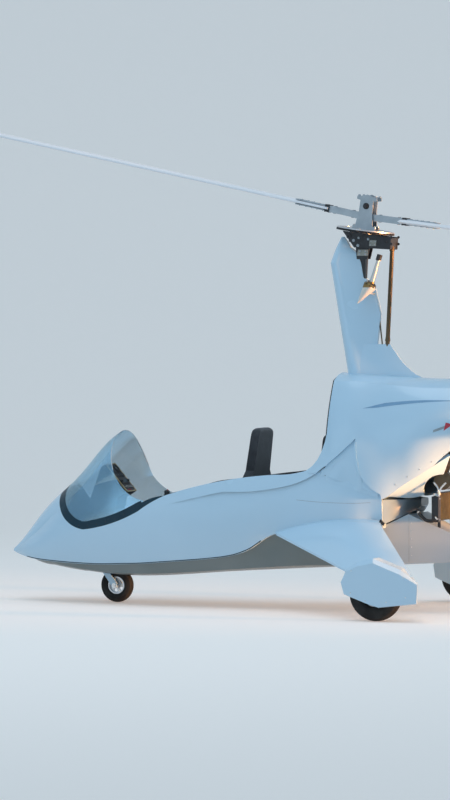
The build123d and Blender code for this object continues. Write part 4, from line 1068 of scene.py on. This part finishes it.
# Windshield rear edge bead, laid where the clear skin ends, and the dark sealing strip inside the band
glass_skin = skin("windshield")
strip = Shape()
for side in (1, -1):
    inner_edge = [(2.103, 0.790), (2.095, 0.716), (2.069, 0.653), (2.025, 0.600), (1.968, 0.562),
                  (1.903, 0.543), (1.821, 0.556), (1.738, 0.576), (1.658, 0.602), (1.580, 0.634),
                  (1.504, 0.672), (1.462, 0.692)]
    side_ribbon(strip, glass_skin, inner_edge, 0.020, side, 0.0010)
strip.make("windshield_seal", trim, "airframe", 60)
bead = Shape()
for side in (1, -1):
    line = []
    for x, z in ((1.612, 0.790), (1.650, 0.842), (1.682, 0.900), (1.700, 0.960), (1.714, 1.020),
                 (1.722, 1.080)):
        hit = side_hit(glass_skin, x + 0.004, z, side)
        if hit:
            line.append(hit[0] - hit[1] * 0.001)
    if len(line) > 2:
        bead.pipe(line, 0.0028, 10, 6)
bead.make("windshield_bead", lens, "airframe")

# Coaming trim: a soft black bead along the cockpit edge
trim_bead = Shape()
for side in (1, -1):
    line = []
    for x, z in ((1.300, 0.728), (1.200, 0.752), (1.100, 0.777), (1.000, 0.802), (0.900, 0.828), (0.780, 0.844),
                 (0.650, 0.860), (0.517, 0.878), (0.430, 0.884), (0.360, 0.892)):
        hit = side_hit(hull_skin, x, z, side)
        if hit:
            line.append(Vector((hit[0].x, hit[0].y - side * 0.010, z + 0.0115)))
    if len(line) > 2:
        trim_bead.pipe(line, 0.0050, 12, 5)
trim_bead.make("coaming_trim", hose_rubber, "airframe")

# Radiator: finned core between its tanks, hoses and stays
fins = Shape()
for face_x, out in ((-0.5510, -1), (-0.5150, 1)):
    for i in range(40):
        z = 0.612 + 0.0041 * i
        x0, x1 = sorted((face_x, face_x + out * 0.0022))
        fins.box((x0, -0.158, z), (x1, 0.158, z + 0.0012))
fins.make("radiator_fins", core_metal, "airframe")
flats = Shape()
for face_x, out in ((-0.5500, -1), (-0.5160, 1)):
    for i in range(23):
        y = -0.154 + 0.014 * i
        x0, x1 = sorted((face_x, face_x + out * 0.0042))
        flats.box((x0, y - 0.0016, 0.606), (x1, y + 0.0016, 0.778))
flats.make("radiator_tubes", brass, "airframe")
hoses = Shape()
for side in (1, -1):
    hoses.pipe([(-0.400, side * 0.175, 0.668), (-0.424, side * 0.192, 0.645), (-0.470, side * 0.200, 0.606),
                (-0.520, side * 0.202, 0.604), (-0.548, side * 0.203, 0.628)], 0.0115, 14, 8)
hoses.pipe([(-0.533, -0.184, 0.755), (-0.530, -0.186, 0.800), (-0.510, -0.150, 0.900), (-0.470, -0.120, 1.000),
            (-0.450, -0.100, 1.060)], 0.0130, 14, 8)
hoses.make("coolant_hoses", hose_rubber, "airframe")
tubes = Shape()
for side in (1, -1):
    tubes.pipe([(-0.540, side * 0.186, 0.750), (-0.556, side * 0.192, 0.770), (-0.557, side * 0.194, 0.800)],
               0.0075, 14, 6)
    for x_mid, x_end in ((-0.545, -0.520), (-0.575, -0.602)):
        tubes.pipe([(-0.557, side * 0.194, 0.795), (x_mid, side * 0.192, 0.822), (x_end, side * 0.188, 0.850)],
                   0.0062, 14, 6)
tubes.make("coolant_branch", bright, "airframe")
clamps = Shape()
for side in (1, -1):
    for place, way in (((-0.418, side * 0.189, 0.651), (-0.024, side * 0.017, -0.023)),
                       ((-0.545, side * 0.203, 0.622), (-0.028, side * 0.001, 0.024))):
        axis = Vector(way).normalized()
        clamps.rod(Vector(place) - axis * 0.005, Vector(place) + axis * 0.005, 0.0135, sides=24)
    clamps.bolt((-0.533, side * 0.128, 0.620), (0, side, 0), 0.0060, 0.0060)
    for z in (0.610, 0.745):
        clamps.bolt((-0.556, side * 0.182, z), (-1, 0, 0), 0.0050, 0.0050)
clamps.make("hose_clamps", bright, "airframe")
caps = Shape()
caps.lathe([(0.0, 0.020), (0.016, 0.020), (0.018, 0.016), (0.018, 0.006), (0.014, 0.004), (0.012, 0.0)],
           (-0.533, 0.182, 0.760), (0, 0, 1), 24)
caps.make("radiator_cap", bright, "airframe")

# Engine: cover bolts, plugs and leads, gearbox bolts, drain, pipes
CYLINDERS = [(-0.470, 1), (-0.500, -1), (-0.650, 1), (-0.680, -1)]
bolts = Shape()
plugs = Shape()
leads = Shape()
for x, side in CYLINDERS:
    for dx in (-0.016, 0.040):
        for dz in (-0.040, 0.036):
            bolts.bolt((x + dx, side * 0.234, 1.190 + dz), (0, side, 0), 0.0050, 0.0055)
    for dx in (-0.052, -0.036):
        spot = Vector((x + dx, side * 0.214, 1.190))
        plugs.rod(spot, spot + Vector((0, side * 0.008, 0)), 0.0090, sides=6)
        plugs.rod(spot + Vector((0, side * 0.008, 0)), spot + Vector((0, side * 0.024, 0)), 0.0050, 0.0045)
    leads.pipe([(x - 0.044, side * 0.236, 1.190), (x - 0.055, side * 0.232, 1.240),
                (x - 0.030, side * 0.170, 1.320),
                (-0.560, side * 0.085, 1.350)], 0.0042, 10, 8)
    for c, s in around(4, 0.5):
        bolts.bolt((x + 0.062 * c, side * 0.097, 1.190 + 0.062 * s), (0, side, 0), 0.0045, 0.0050, False)
for c, s in around(10):
    bolts.bolt((-0.905, 0.078 * c, 1.330 + 0.078 * s), (-1, 0, 0), 0.0052, 0.0060)
for x in (-0.42, -0.52, -0.62, -0.72):
    for side in (1, -1):
        bolts.bolt((x, side * 0.058, 1.040), (0, 0, -1), 0.0050, 0.0050)
        bolts.bolt((x, side * 0.088, 1.150), (0, side, 0), 0.0055, 0.0055)
bolts.bolt((-0.60, 0.0, 1.040), (0, 0, -1), 0.0110, 0.0120)
for y in (-0.098, 0.098):
    for z in (1.01, 1.16, 1.32):
        bolts.bolt((-0.321, y, z), (-1, 0, 0), 0.0065, 0.0080)
bolts.make("engine_bolts", bright, "airframe")
plugs.make("spark_plugs", steel, "airframe")
leads.make("plug_leads", hose_rubber, "airframe")
box = Shape()
box.box((-0.600, -0.084, 1.330), (-0.520, -0.062, 1.372))
box.box((-0.600, 0.062, 1.330), (-0.520, 0.084, 1.372))
box.lathe([(0.0, 0.0), (0.034, 0.0), (0.037, 0.004), (0.037, 0.058), (0.034, 0.066), (0.0, 0.066)],
          (-0.372, 0.062, 1.056), (0, 0, -1), 32)
box.make("ignition_boxes_and_oil_filter", plastic, "airframe")
pipes = Shape()
for radius, points in (
        (0.0060, [(-0.372, 0.062, 1.062), (-0.400, 0.110, 1.020), (-0.470, 0.120, 0.980),
                  (-0.540, 0.100, 0.985)]),
        (0.0055, [(-0.600, 0.020, 1.040), (-0.600, 0.050, 1.000), (-0.520, 0.095, 0.965),
                  (-0.420, 0.120, 0.960)]),
        (0.0060, [(-0.700, -0.050, 1.040), (-0.690, -0.090, 1.000), (-0.600, -0.120, 0.975),
                  (-0.440, -0.120, 0.970)])):
    pipes.pipe(points, radius)
pipes.make("oil_pipes", hose_rubber, "airframe")
rings = Shape()
for x, side in CYLINDERS:
    rings.lathe([(0.0172, -0.006), (0.0205, -0.004), (0.0205, 0.004),
                 (0.0172, 0.006)], (x, side * 0.192, 1.100),
                (0, side * 0.006, -0.09), 28)
for y in (-0.140, -0.060, 0.060, 0.140):
    rings.lathe([(0.0602, -0.003), (0.0625, -0.0015), (0.0625, 0.0015), (0.0602, 0.003)], (-0.566, y, 0.862),
                (0, 1, 0), 48)
rings.make("exhaust_bands", steel, "airframe")

# Small dark catch at the wing root, hinge bolts on the rudder
catch = Shape()
for side in (1, -1):
    y0, y1 = sorted((side * 0.318, side * 0.334))
    catch.plate([(-0.196, 0.592), (-0.226, 0.572), (-0.232, 0.588), (-0.204, 0.612)], y0, y1)
catch.make("wing_root_catch", black, "airframe")
hinge = Shape()
for z in (0.570, 1.570):
    for side in (1, -1):
        hinge.bolt((-2.196, side * 0.009, z), (0, side, 0), 0.0050, 0.0050)
    hinge.rod((-2.216, 0, z - 0.016), (-2.216, 0, z - 0.011), 0.0120, sides=20)
    hinge.rod((-2.216, 0, z + 0.011), (-2.216, 0, z + 0.016), 0.0120, sides=20)
hinge.make("rudder_hinge_bolts", bright, "airframe")
beacon = Shape()
beacon.lathe([(0.0, 0.028), (0.008, 0.026), (0.013, 0.020), (0.015, 0.010), (0.015, 0.0), (0.018, 0.0),
              (0.018, -0.004)], (-2.110, 0, 1.700), (0, 0, 1), 28)
beacon.make("fin_light", lens, "airframe")
boltrow = Shape()
for x in (-1.04, -1.12):
    for side in (1, -1):
        boltrow.bolt((x, side * 0.045, 0.378), (0, side, 0), 0.0060, 0.0060)
for x in (-2.03, -2.33):
    for side in (1, -1):
        boltrow.bolt((x, side * 0.028, 0.4275), (0, 0, 1), 0.0060, 0.0060)
boltrow.make("tail_bolts", bright, "airframe")


# Seats: padded cloth covers, channels and piping, then the harness
class Pad:
    # A cushion in its own frame: x along, y across, z off the seat's hard surface
    def __init__(self, name, low, high, outline, thick, fill, channels, material):
        low = Vector((low[0], 0, low[1]))
        high = Vector((high[0], 0, high[1]))
        along = (high - low).normalized()
        across = Vector((0, 1, 0))
        out = along.cross(across)
        self.place = Matrix((
            (along.x, across.x, out.x, low.x),
            (along.y, across.y, out.y, low.y),
            (along.z, across.z, out.z, low.z),
            (0, 0, 0, 1),
        ))
        self.name = name
        self.length = (high - low).length
        self.outline = outline
        self.thick = thick
        self.fill = fill
        self.channels = channels
        self.material = material

    def half_at(self, t):
        # Half width along the pad, from pairs of (share of the length, half width)
        return between(self.outline, t)

    def block(self):
        form = bmesh.new()
        rows = 24
        cols = 12
        layers = 3
        grid = {}
        for i in range(rows + 1):
            t = i / rows
            half = self.half_at(t)
            end = min(t, 1 - t) * self.length
            half -= 0.018 * max(0.0, 1 - end / 0.030) ** 2
            for j in range(cols + 1):
                s = -1 + 2 * j / cols
                for k in range(layers + 1):
                    z = self.thick * k / layers
                    pull = 0.006 * (k / layers) ** 2
                    x = t * self.length
                    x = min(max(x, pull), self.length - pull)
                    grid[i, j, k] = form.verts.new((x, s * (half - pull), z))
        def quad(a, b, c, d):
            form.faces.new((grid[a], grid[b], grid[c], grid[d]))
        for i in range(rows):
            for j in range(cols):
                quad((i, j, 0), (i, j + 1, 0), (i + 1, j + 1, 0), (i + 1, j, 0))
                quad((i, j, layers), (i + 1, j, layers), (i + 1, j + 1, layers), (i, j + 1, layers))
        for i in range(rows):
            for k in range(layers):
                quad((i, 0, k), (i + 1, 0, k), (i + 1, 0, k + 1), (i, 0, k + 1))
                quad((i, cols, k), (i, cols, k + 1), (i + 1, cols, k + 1), (i + 1, cols, k))
        for j in range(cols):
            for k in range(layers):
                quad((0, j, k), (0, j, k + 1), (0, j + 1, k + 1), (0, j + 1, k))
                quad((rows, j, k), (rows, j + 1, k), (rows, j + 1, k + 1), (rows, j, k + 1))
        mesh = bpy.data.meshes.new(self.name)
        bmesh.ops.recalc_face_normals(form, faces=form.faces)
        form.to_mesh(mesh)
        form.free()
        self.obj = bpy.data.objects.new(self.name, mesh)
        self.obj.matrix_world = self.place
        scene.collection.objects.link(self.obj)

    def settle(self):
        # The remesh's result, kept as the mesh that the cloth starts from
        remesh = self.obj.modifiers.new("remesh", "REMESH")
        remesh.mode = "VOXEL"
        remesh.voxel_size = 0.006
        self.take()
        self.start = [v.co.copy() for v in self.obj.data.vertices]
        cloth_mod = self.obj.modifiers.new("cloth", "CLOTH")
        cloth_mod.settings.use_pressure = True
        cloth_mod.settings.uniform_pressure_force = 4.0
        cloth_mod.settings.effector_weights.gravity = 0.0
        cloth_mod.settings.mass = 0.3
        cloth_mod.settings.tension_stiffness = 15.0
        cloth_mod.settings.compression_stiffness = 15.0
        cloth_mod.settings.quality = 5
        cloth_mod.collision_settings.use_collision = False

    def take(self):
        graph = bpy.context.evaluated_depsgraph_get()
        mesh = bpy.data.meshes.new_from_object(self.obj.evaluated_get(graph), depsgraph=graph)
        old = self.obj.data
        self.obj.modifiers.clear()
        self.obj.data = mesh
        mesh.name = self.name
        bpy.data.meshes.remove(old)

    def cap(self, limit):
        for vertex, start in zip(self.obj.data.vertices, self.start):
            move = vertex.co - start
            if move.length > limit:
                move *= limit / move.length
            vertex.co = start + move
            vertex.co.z = max(vertex.co.z, -0.001)
        for along, half_across, depth in self.channels:
            for vertex in self.obj.data.vertices:
                if vertex.co.z < 0.4 * self.thick:
                    continue
                away = vertex.co.x - along if half_across is None else abs(vertex.co.y) - half_across
                sink = depth * (0.65 * 2.718 ** (-(away / 0.006) ** 2) + 0.35 * 2.718 ** (-(away / 0.016) ** 2))
                vertex.co.z -= sink
        sub = self.obj.modifiers.new("sub", "SUBSURF")
        sub.levels = 1
        sub.render_levels = 1
        self.take()
        for polygon in self.obj.data.polygons:
            polygon.use_smooth = True
        self.obj.data.materials.clear()
        self.obj.data.materials.append(self.material)
        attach(self.obj, "airframe")
        self.tree = BVHTree.FromPolygons([v.co.copy() for v in self.obj.data.vertices],
                                         [tuple(p.vertices) for p in self.obj.data.polygons])

    def top(self, x, y):
        place, normal, index, distance = self.tree.ray_cast(Vector((x, y, 0.3)), Vector((0, 0, -1)))
        return (place, normal) if place is not None else None

    def sew(self, stitches, piping):
        for along, half_across, depth in self.channels:
            if half_across is None:
                reach = self.half_at(along / self.length)
                runs = [[(along, s * 0.96 * reach) for s in [-1 + i / 12 for i in range(25)]]]
            else:
                runs = [[(self.length * (0.04 + 0.92 * i / 30), side * half_across) for i in range(31)]
                        for side in (1, -1)]
            for run in runs:
                dots = [self.top(x, y) for x, y in run]
                dots = [self.place @ (hit[0] + Vector((0, 0, 0.0002))) for hit in dots if hit]
                if len(dots) > 3:
                    stitches.pipe(dots, 0.0011, 6, 1)
        rim = []
        for c, s in around(72):
            x = 0.5 * self.length * (1 + (abs(c) ** 0.25) * (1 if c > 0 else -1))
            y = self.half_at(min(1.0, max(0.0, x / self.length))) * (abs(s) ** 0.25) * (1 if s > 0 else -1)
            near, normal, index, distance = self.tree.find_nearest(Vector((x, y, 0.72 * self.thick)))
            rim.append(self.place @ (near + normal * 0.0004))
        piping.sweep(rim, [(0.0026 * c, 0.0026 * s) for c, s in around(8)], True)


PADS = [
    Pad("front_seat_cushion", (0.905, 0.4335), (1.272, 0.4755), [(0, 0.182), (1, 0.176)], 0.026, 0.8,
        [(0.12, None, 0.006), (0.24, None, 0.006), (0, 0.125, 0.005)], cloth),
    Pad("front_back_cushion", (0.861, 0.470), (0.8165, 0.822), [(0, 0.184), (0.8, 0.178),
                                                                (1, 0.150)], 0.024, 0.8,
        [(0.11, None, 0.005), (0.20, None, 0.005), (0.28, None, 0.005), (0, 0.122, 0.005)], cloth),
    Pad("front_head_cushion", (0.8095, 0.868), (0.7745, 1.138), [(0, 0.114), (0.12, 0.122), (0.9, 0.112),
                                                                 (1, 0.095)],
        0.022, 0.8, [(0.09, None, 0.005), (0.18, None, 0.005)], leather),
    Pad("rear_seat_cushion", (0.325, 0.6430), (0.622, 0.6665), [(0, 0.176), (1, 0.172)], 0.026, 0.8,
        [(0.10, None, 0.006), (0.20, None, 0.006), (0, 0.120, 0.005)], cloth),
    Pad("rear_back_cushion", (0.2875, 0.682), (0.2745, 0.925), [(0, 0.178), (0.8, 0.172),
                                                                (1, 0.150)], 0.024, 0.8,
        [(0.08, None, 0.005), (0.16, None, 0.005), (0, 0.118, 0.005)], cloth),
    Pad("rear_head_cushion", (0.2715, 0.975), (0.2640, 1.115), [(0, 0.132), (0.15, 0.138), (0.85, 0.130),
                                                                (1, 0.112)],
        0.022, 0.8, [(0.07, None, 0.005)], leather),
]
for pad in PADS:
    pad.block()
    pad.settle()
for step in range(1, 21):
    scene.frame_set(step)
for pad in PADS:
    pad.take()
scene.frame_set(1)
stitches = Shape()
piping = Shape()
for pad in PADS:
    pad.cap(0.022)
    pad.sew(stitches, piping)
stitches.make("seat_stitching", webbing, "airframe")
piping.make("seat_piping", hose_rubber, "airframe")

# Harness: webbing laid over the pads from the shoulders and hips to one buckle a seat
seat_points = []
seat_faces = []
for pad in PADS:
    start = len(seat_points)
    seat_points += [pad.place @ v.co for v in pad.obj.data.vertices]
    seat_faces += [tuple(start + i for i in p.vertices) for p in pad.obj.data.polygons]
for name in ("front_seat", "rear_seat"):
    start = len(seat_points)
    seat_points += [v.co.copy() for v in nodes[name].data.vertices]
    seat_faces += [tuple(start + i for i in p.vertices) for p in nodes[name].data.polygons]
seat_tree = BVHTree.FromPolygons(seat_points, seat_faces)


def lay_strap(shape, points, ways, width=0.046, thick=0.0022):
    # Each point is dropped onto the seat against its own outward way
    spine = smooth_line(points, 10)
    path = []
    for i, point in enumerate(spine):
        t = i / (len(spine) - 1) * (len(ways) - 1)
        k = min(int(t), len(ways) - 2)
        out = (Vector(ways[k]).lerp(Vector(ways[k + 1]), t - k)).normalized()
        place, normal, index, distance = seat_tree.ray_cast(point + out * 0.16, -out, 0.30)
        path.append((place if place is not None else point, out))
    smooth = []
    for i in range(len(path)):
        window = [path[min(max(j, 0), len(path) - 1)][0] for j in range(i - 2, i + 3)]
        smooth.append(sum(window, Vector()) / 5 + path[i][1] * (0.0035 + thick))
    rings = []
    for i, point in enumerate(smooth):
        way = (smooth[min(i + 1, len(smooth) - 1)] - smooth[max(i - 1, 0)]).normalized()
        across = way.cross(path[i][1]).normalized()
        out = across.cross(way).normalized()
        rings.append([point + across * a * width + out * (b - 0.5) * thick
                      for a, b in ((-0.5, 0.0), (-0.5, 1.0), (0.0, 1.15), (0.5, 1.0), (0.5, 0.0), (0.0, 0.15))])
    shape.loft(rings)


straps = Shape()
metal = Shape()
release = Shape()
UP = (0.08, 0, 1)
FORWARD = (1, 0, 0.14)
for (bx, bz), (sx, sz), (tx, tz) in (((0.905, 0.436), (0.866, 0.470), (0.776, 1.150)),
                                     ((0.325, 0.645), (0.290, 0.682), (0.264, 1.120))):
    buckle = Vector((bx + 0.150, 0.0, bz + 0.05))
    for side in (1, -1):
        top = Vector((tx, side * 0.060, tz - 0.010))
        mid = Vector((0.5 * (tx + sx), side * 0.066, 0.5 * (tz + sz)))
        low = Vector((sx + 0.010, side * 0.058, sz + 0.055))
        fore = Vector((bx + 0.070, side * 0.034, bz + 0.05))
        lay_strap(straps, [top, mid, low, fore, buckle + Vector((-0.016, side * 0.014, 0))],
                  [FORWARD, FORWARD, (1, 0, 0.45), (0.5, 0, 1), UP])
        hip = Vector((bx + 0.010, side * 0.172, bz + 0.05))
        side_mid = Vector((bx + 0.085, side * 0.100, bz + 0.05))
        lay_strap(straps, [hip, side_mid, buckle + Vector((0.0, side * 0.026, 0))], [UP, UP, UP])
        place, normal, index, distance = seat_tree.ray_cast(hip + Vector((0.02, 0, 0.1)), Vector((0, 0, -1)))
        if place is not None:
            y0, y1 = sorted((place.y - 0.016, place.y + 0.016))
            metal.box((place.x - 0.026, y0, place.z + 0.0040), (place.x + 0.020, y1, place.z + 0.0085))
        metal.box((top.x + 0.026, top.y - 0.028, mid.z + 0.060), (top.x + 0.036, top.y + 0.028, mid.z + 0.092))
    place, normal, index, distance = seat_tree.ray_cast(buckle + Vector((0, 0, 0.1)), Vector((0, 0, -1)))
    spot = place if place is not None else buckle
    metal.lathe([(0.0, 0.0), (0.031, 0.0), (0.034, 0.004), (0.034, 0.013), (0.030, 0.0175), (0.0, 0.0185)],
                spot + Vector((0, 0, 0.0035)), UP, 40)
    release.lathe([(0.0, 0.0), (0.019, 0.0), (0.019, 0.004), (0.016, 0.0060), (0.0, 0.0065)],
                  spot + Vector((0.0015, 0, 0.0218)), UP, 32)
straps.make("harness_straps", webbing, "airframe", 50)
metal.make("harness_fittings", bright, "airframe")
release.make("harness_release", mark_red, "airframe")

# Hull paint: dark on the faces that look inward to the cockpit, and painted shade darkening the tub's closing
# panel towards its rear
hull_paint_with_painted_shade = white.copy()
hull_paint_with_painted_shade.name = "hull_paint_with_painted_shade"
tree = hull_paint_with_painted_shade.node_tree
shader = tree.nodes["Principled BSDF"]
place, parts = own_place(tree)
middle = add(tree, "ShaderNodeCombineXYZ")
feed(tree, middle, {"Z": spread(tree, parts["X"], 0.72, 0.335, 1.0, 2.5)})
outward = reckon(tree, "ShaderNodeVectorMath", "SUBTRACT", place, middle.outputs["Vector"], output="Vector")
outward = reckon(tree, "ShaderNodeVectorMath", "MULTIPLY", outward, (0.0, 1.0, 1.0), output="Vector")
normal = add(tree, "ShaderNodeNewGeometry").outputs["True Normal"]
facing = reckon(tree, "ShaderNodeVectorMath", "DOT_PRODUCT", outward, normal)
# Inputs 6 and 7 are the two colours of the mix, and output 2 is their mixture
cover = add(tree, "ShaderNodeMix", data_type="RGBA")
feed(tree, cover, {
    0: reckon(tree, "ShaderNodeMath", "LESS_THAN", facing, -0.02),
    6: shader.inputs["Base Color"].links[0].from_socket,
    7: (0.045, 0.047, 0.052, 1),
})
# Painted shade: the base colour darkens along the closing panel towards its rear end
shade = spread(tree, parts["X"], 0.16, 0.62, -0.330, -0.206)
ahead = reckon(tree, "ShaderNodeMath", "GREATER_THAN", parts["X"], -0.205)
shade_darkened = add(tree, "ShaderNodeVectorMath", operation="SCALE")
feed(tree, shade_darkened, {"Vector": cover.outputs[2], "Scale": reckon(tree, "ShaderNodeMath", "MAXIMUM", shade,
                                                                ahead)})
tree.links.new(shade_darkened.outputs["Vector"], shader.inputs["Base Color"])
dress("hull", hull_paint_with_painted_shade)

# Floor, backdrop and soft studio light
# Reach of the floor to the sides and the front, and the radius of its bend up into the backdrop
REACH = 60.0
BEND = 9.0
floor_mesh = bpy.data.meshes.new("floor")
depth = [(REACH, 0.0), (-BEND, 0.0)]
for i in range(1, 13):
    angle = pi / 2 * i / 12
    depth.append((-BEND - BEND * sin(angle), BEND * (1 - cos(angle))))
depth.append((-2 * BEND, 34.0))
vertices = []
faces = []
for y, z in depth:
    vertices += [(-REACH, y, z), (REACH, y, z)]
for i in range(len(depth) - 1):
    faces.append((2 * i, 2 * i + 2, 2 * i + 3, 2 * i + 1))
floor_mesh.from_pydata(vertices, [], faces)
for polygon in floor_mesh.polygons:
    polygon.use_smooth = True
floor = bpy.data.objects.new("floor", floor_mesh)
floor.rotation_euler = (0, 0, VIEW_TURN)
scene.collection.objects.link(floor)
floor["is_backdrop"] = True
floor_material, tree, shader = new_material("floor")
# The backdrop as the camera sees it, straight, through glass or mirrored, is lifted a little
rays = add(tree, "ShaderNodeLightPath").outputs
seen = reckon(tree, "ShaderNodeMath", "MAXIMUM", rays["Is Camera Ray"], rays["Is Transmission Ray"])
seen = reckon(tree, "ShaderNodeMath", "MAXIMUM", seen, rays["Is Glossy Ray"])
feed(tree, shader, {
    "Base Color": (0.84, 0.82, 0.79, 1),
    "Roughness": 0.95,
    "Specular IOR Level": 0.1,
    "Emission Color": (1.0, 0.94, 0.88, 1),
    "Emission Strength": reckon(tree, "ShaderNodeMath", "MULTIPLY", seen, 0.20),
})
# The back of the backdrop is clear, so that the object can be looked at from every side
backfacing = add(tree, "ShaderNodeNewGeometry").outputs["Backfacing"]
mix_shaders(tree, backfacing, shader, add(tree, "ShaderNodeBsdfTransparent"))
floor_mesh.materials.append(floor_material)

world = bpy.data.worlds.new("world")
scene.world = world
world.use_nodes = True
feed(world.node_tree, world.node_tree.nodes["Background"], {"Color": (0.61, 0.81, 1.0, 1), "Strength": 0.61})


def lamp(name, place, aim, size, power, colour, beam=180):
    data = bpy.data.lights.new(name, "AREA")
    data.spread = radians(beam)
    data.energy = power
    data.size = size
    data.color = colour
    obj = bpy.data.objects.new(name, data)
    obj.location = place
    obj.rotation_euler = (Vector(aim) - Vector(place)).to_track_quat("-Z", "Y").to_euler()
    scene.collection.objects.link(obj)


# A low warm lamp behind the tail, and two wide cool ones for the sky
lamp("key", (-12.0, -0.5, 0.8), (-0.2, 0, 1.35), 1.0, 125, (1.0, 0.45, 0.17), 26)
lamp("top", (1.0, 2.0, 9.0), (0.5, 0, 0.8), 6.0, 200, (0.84, 0.92, 1.0))
lamp("fill", (5.0, 10.0, 3.0), (0.8, 0, 0.6), 6.0, 60, (0.70, 0.88, 1.0))

low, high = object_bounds()
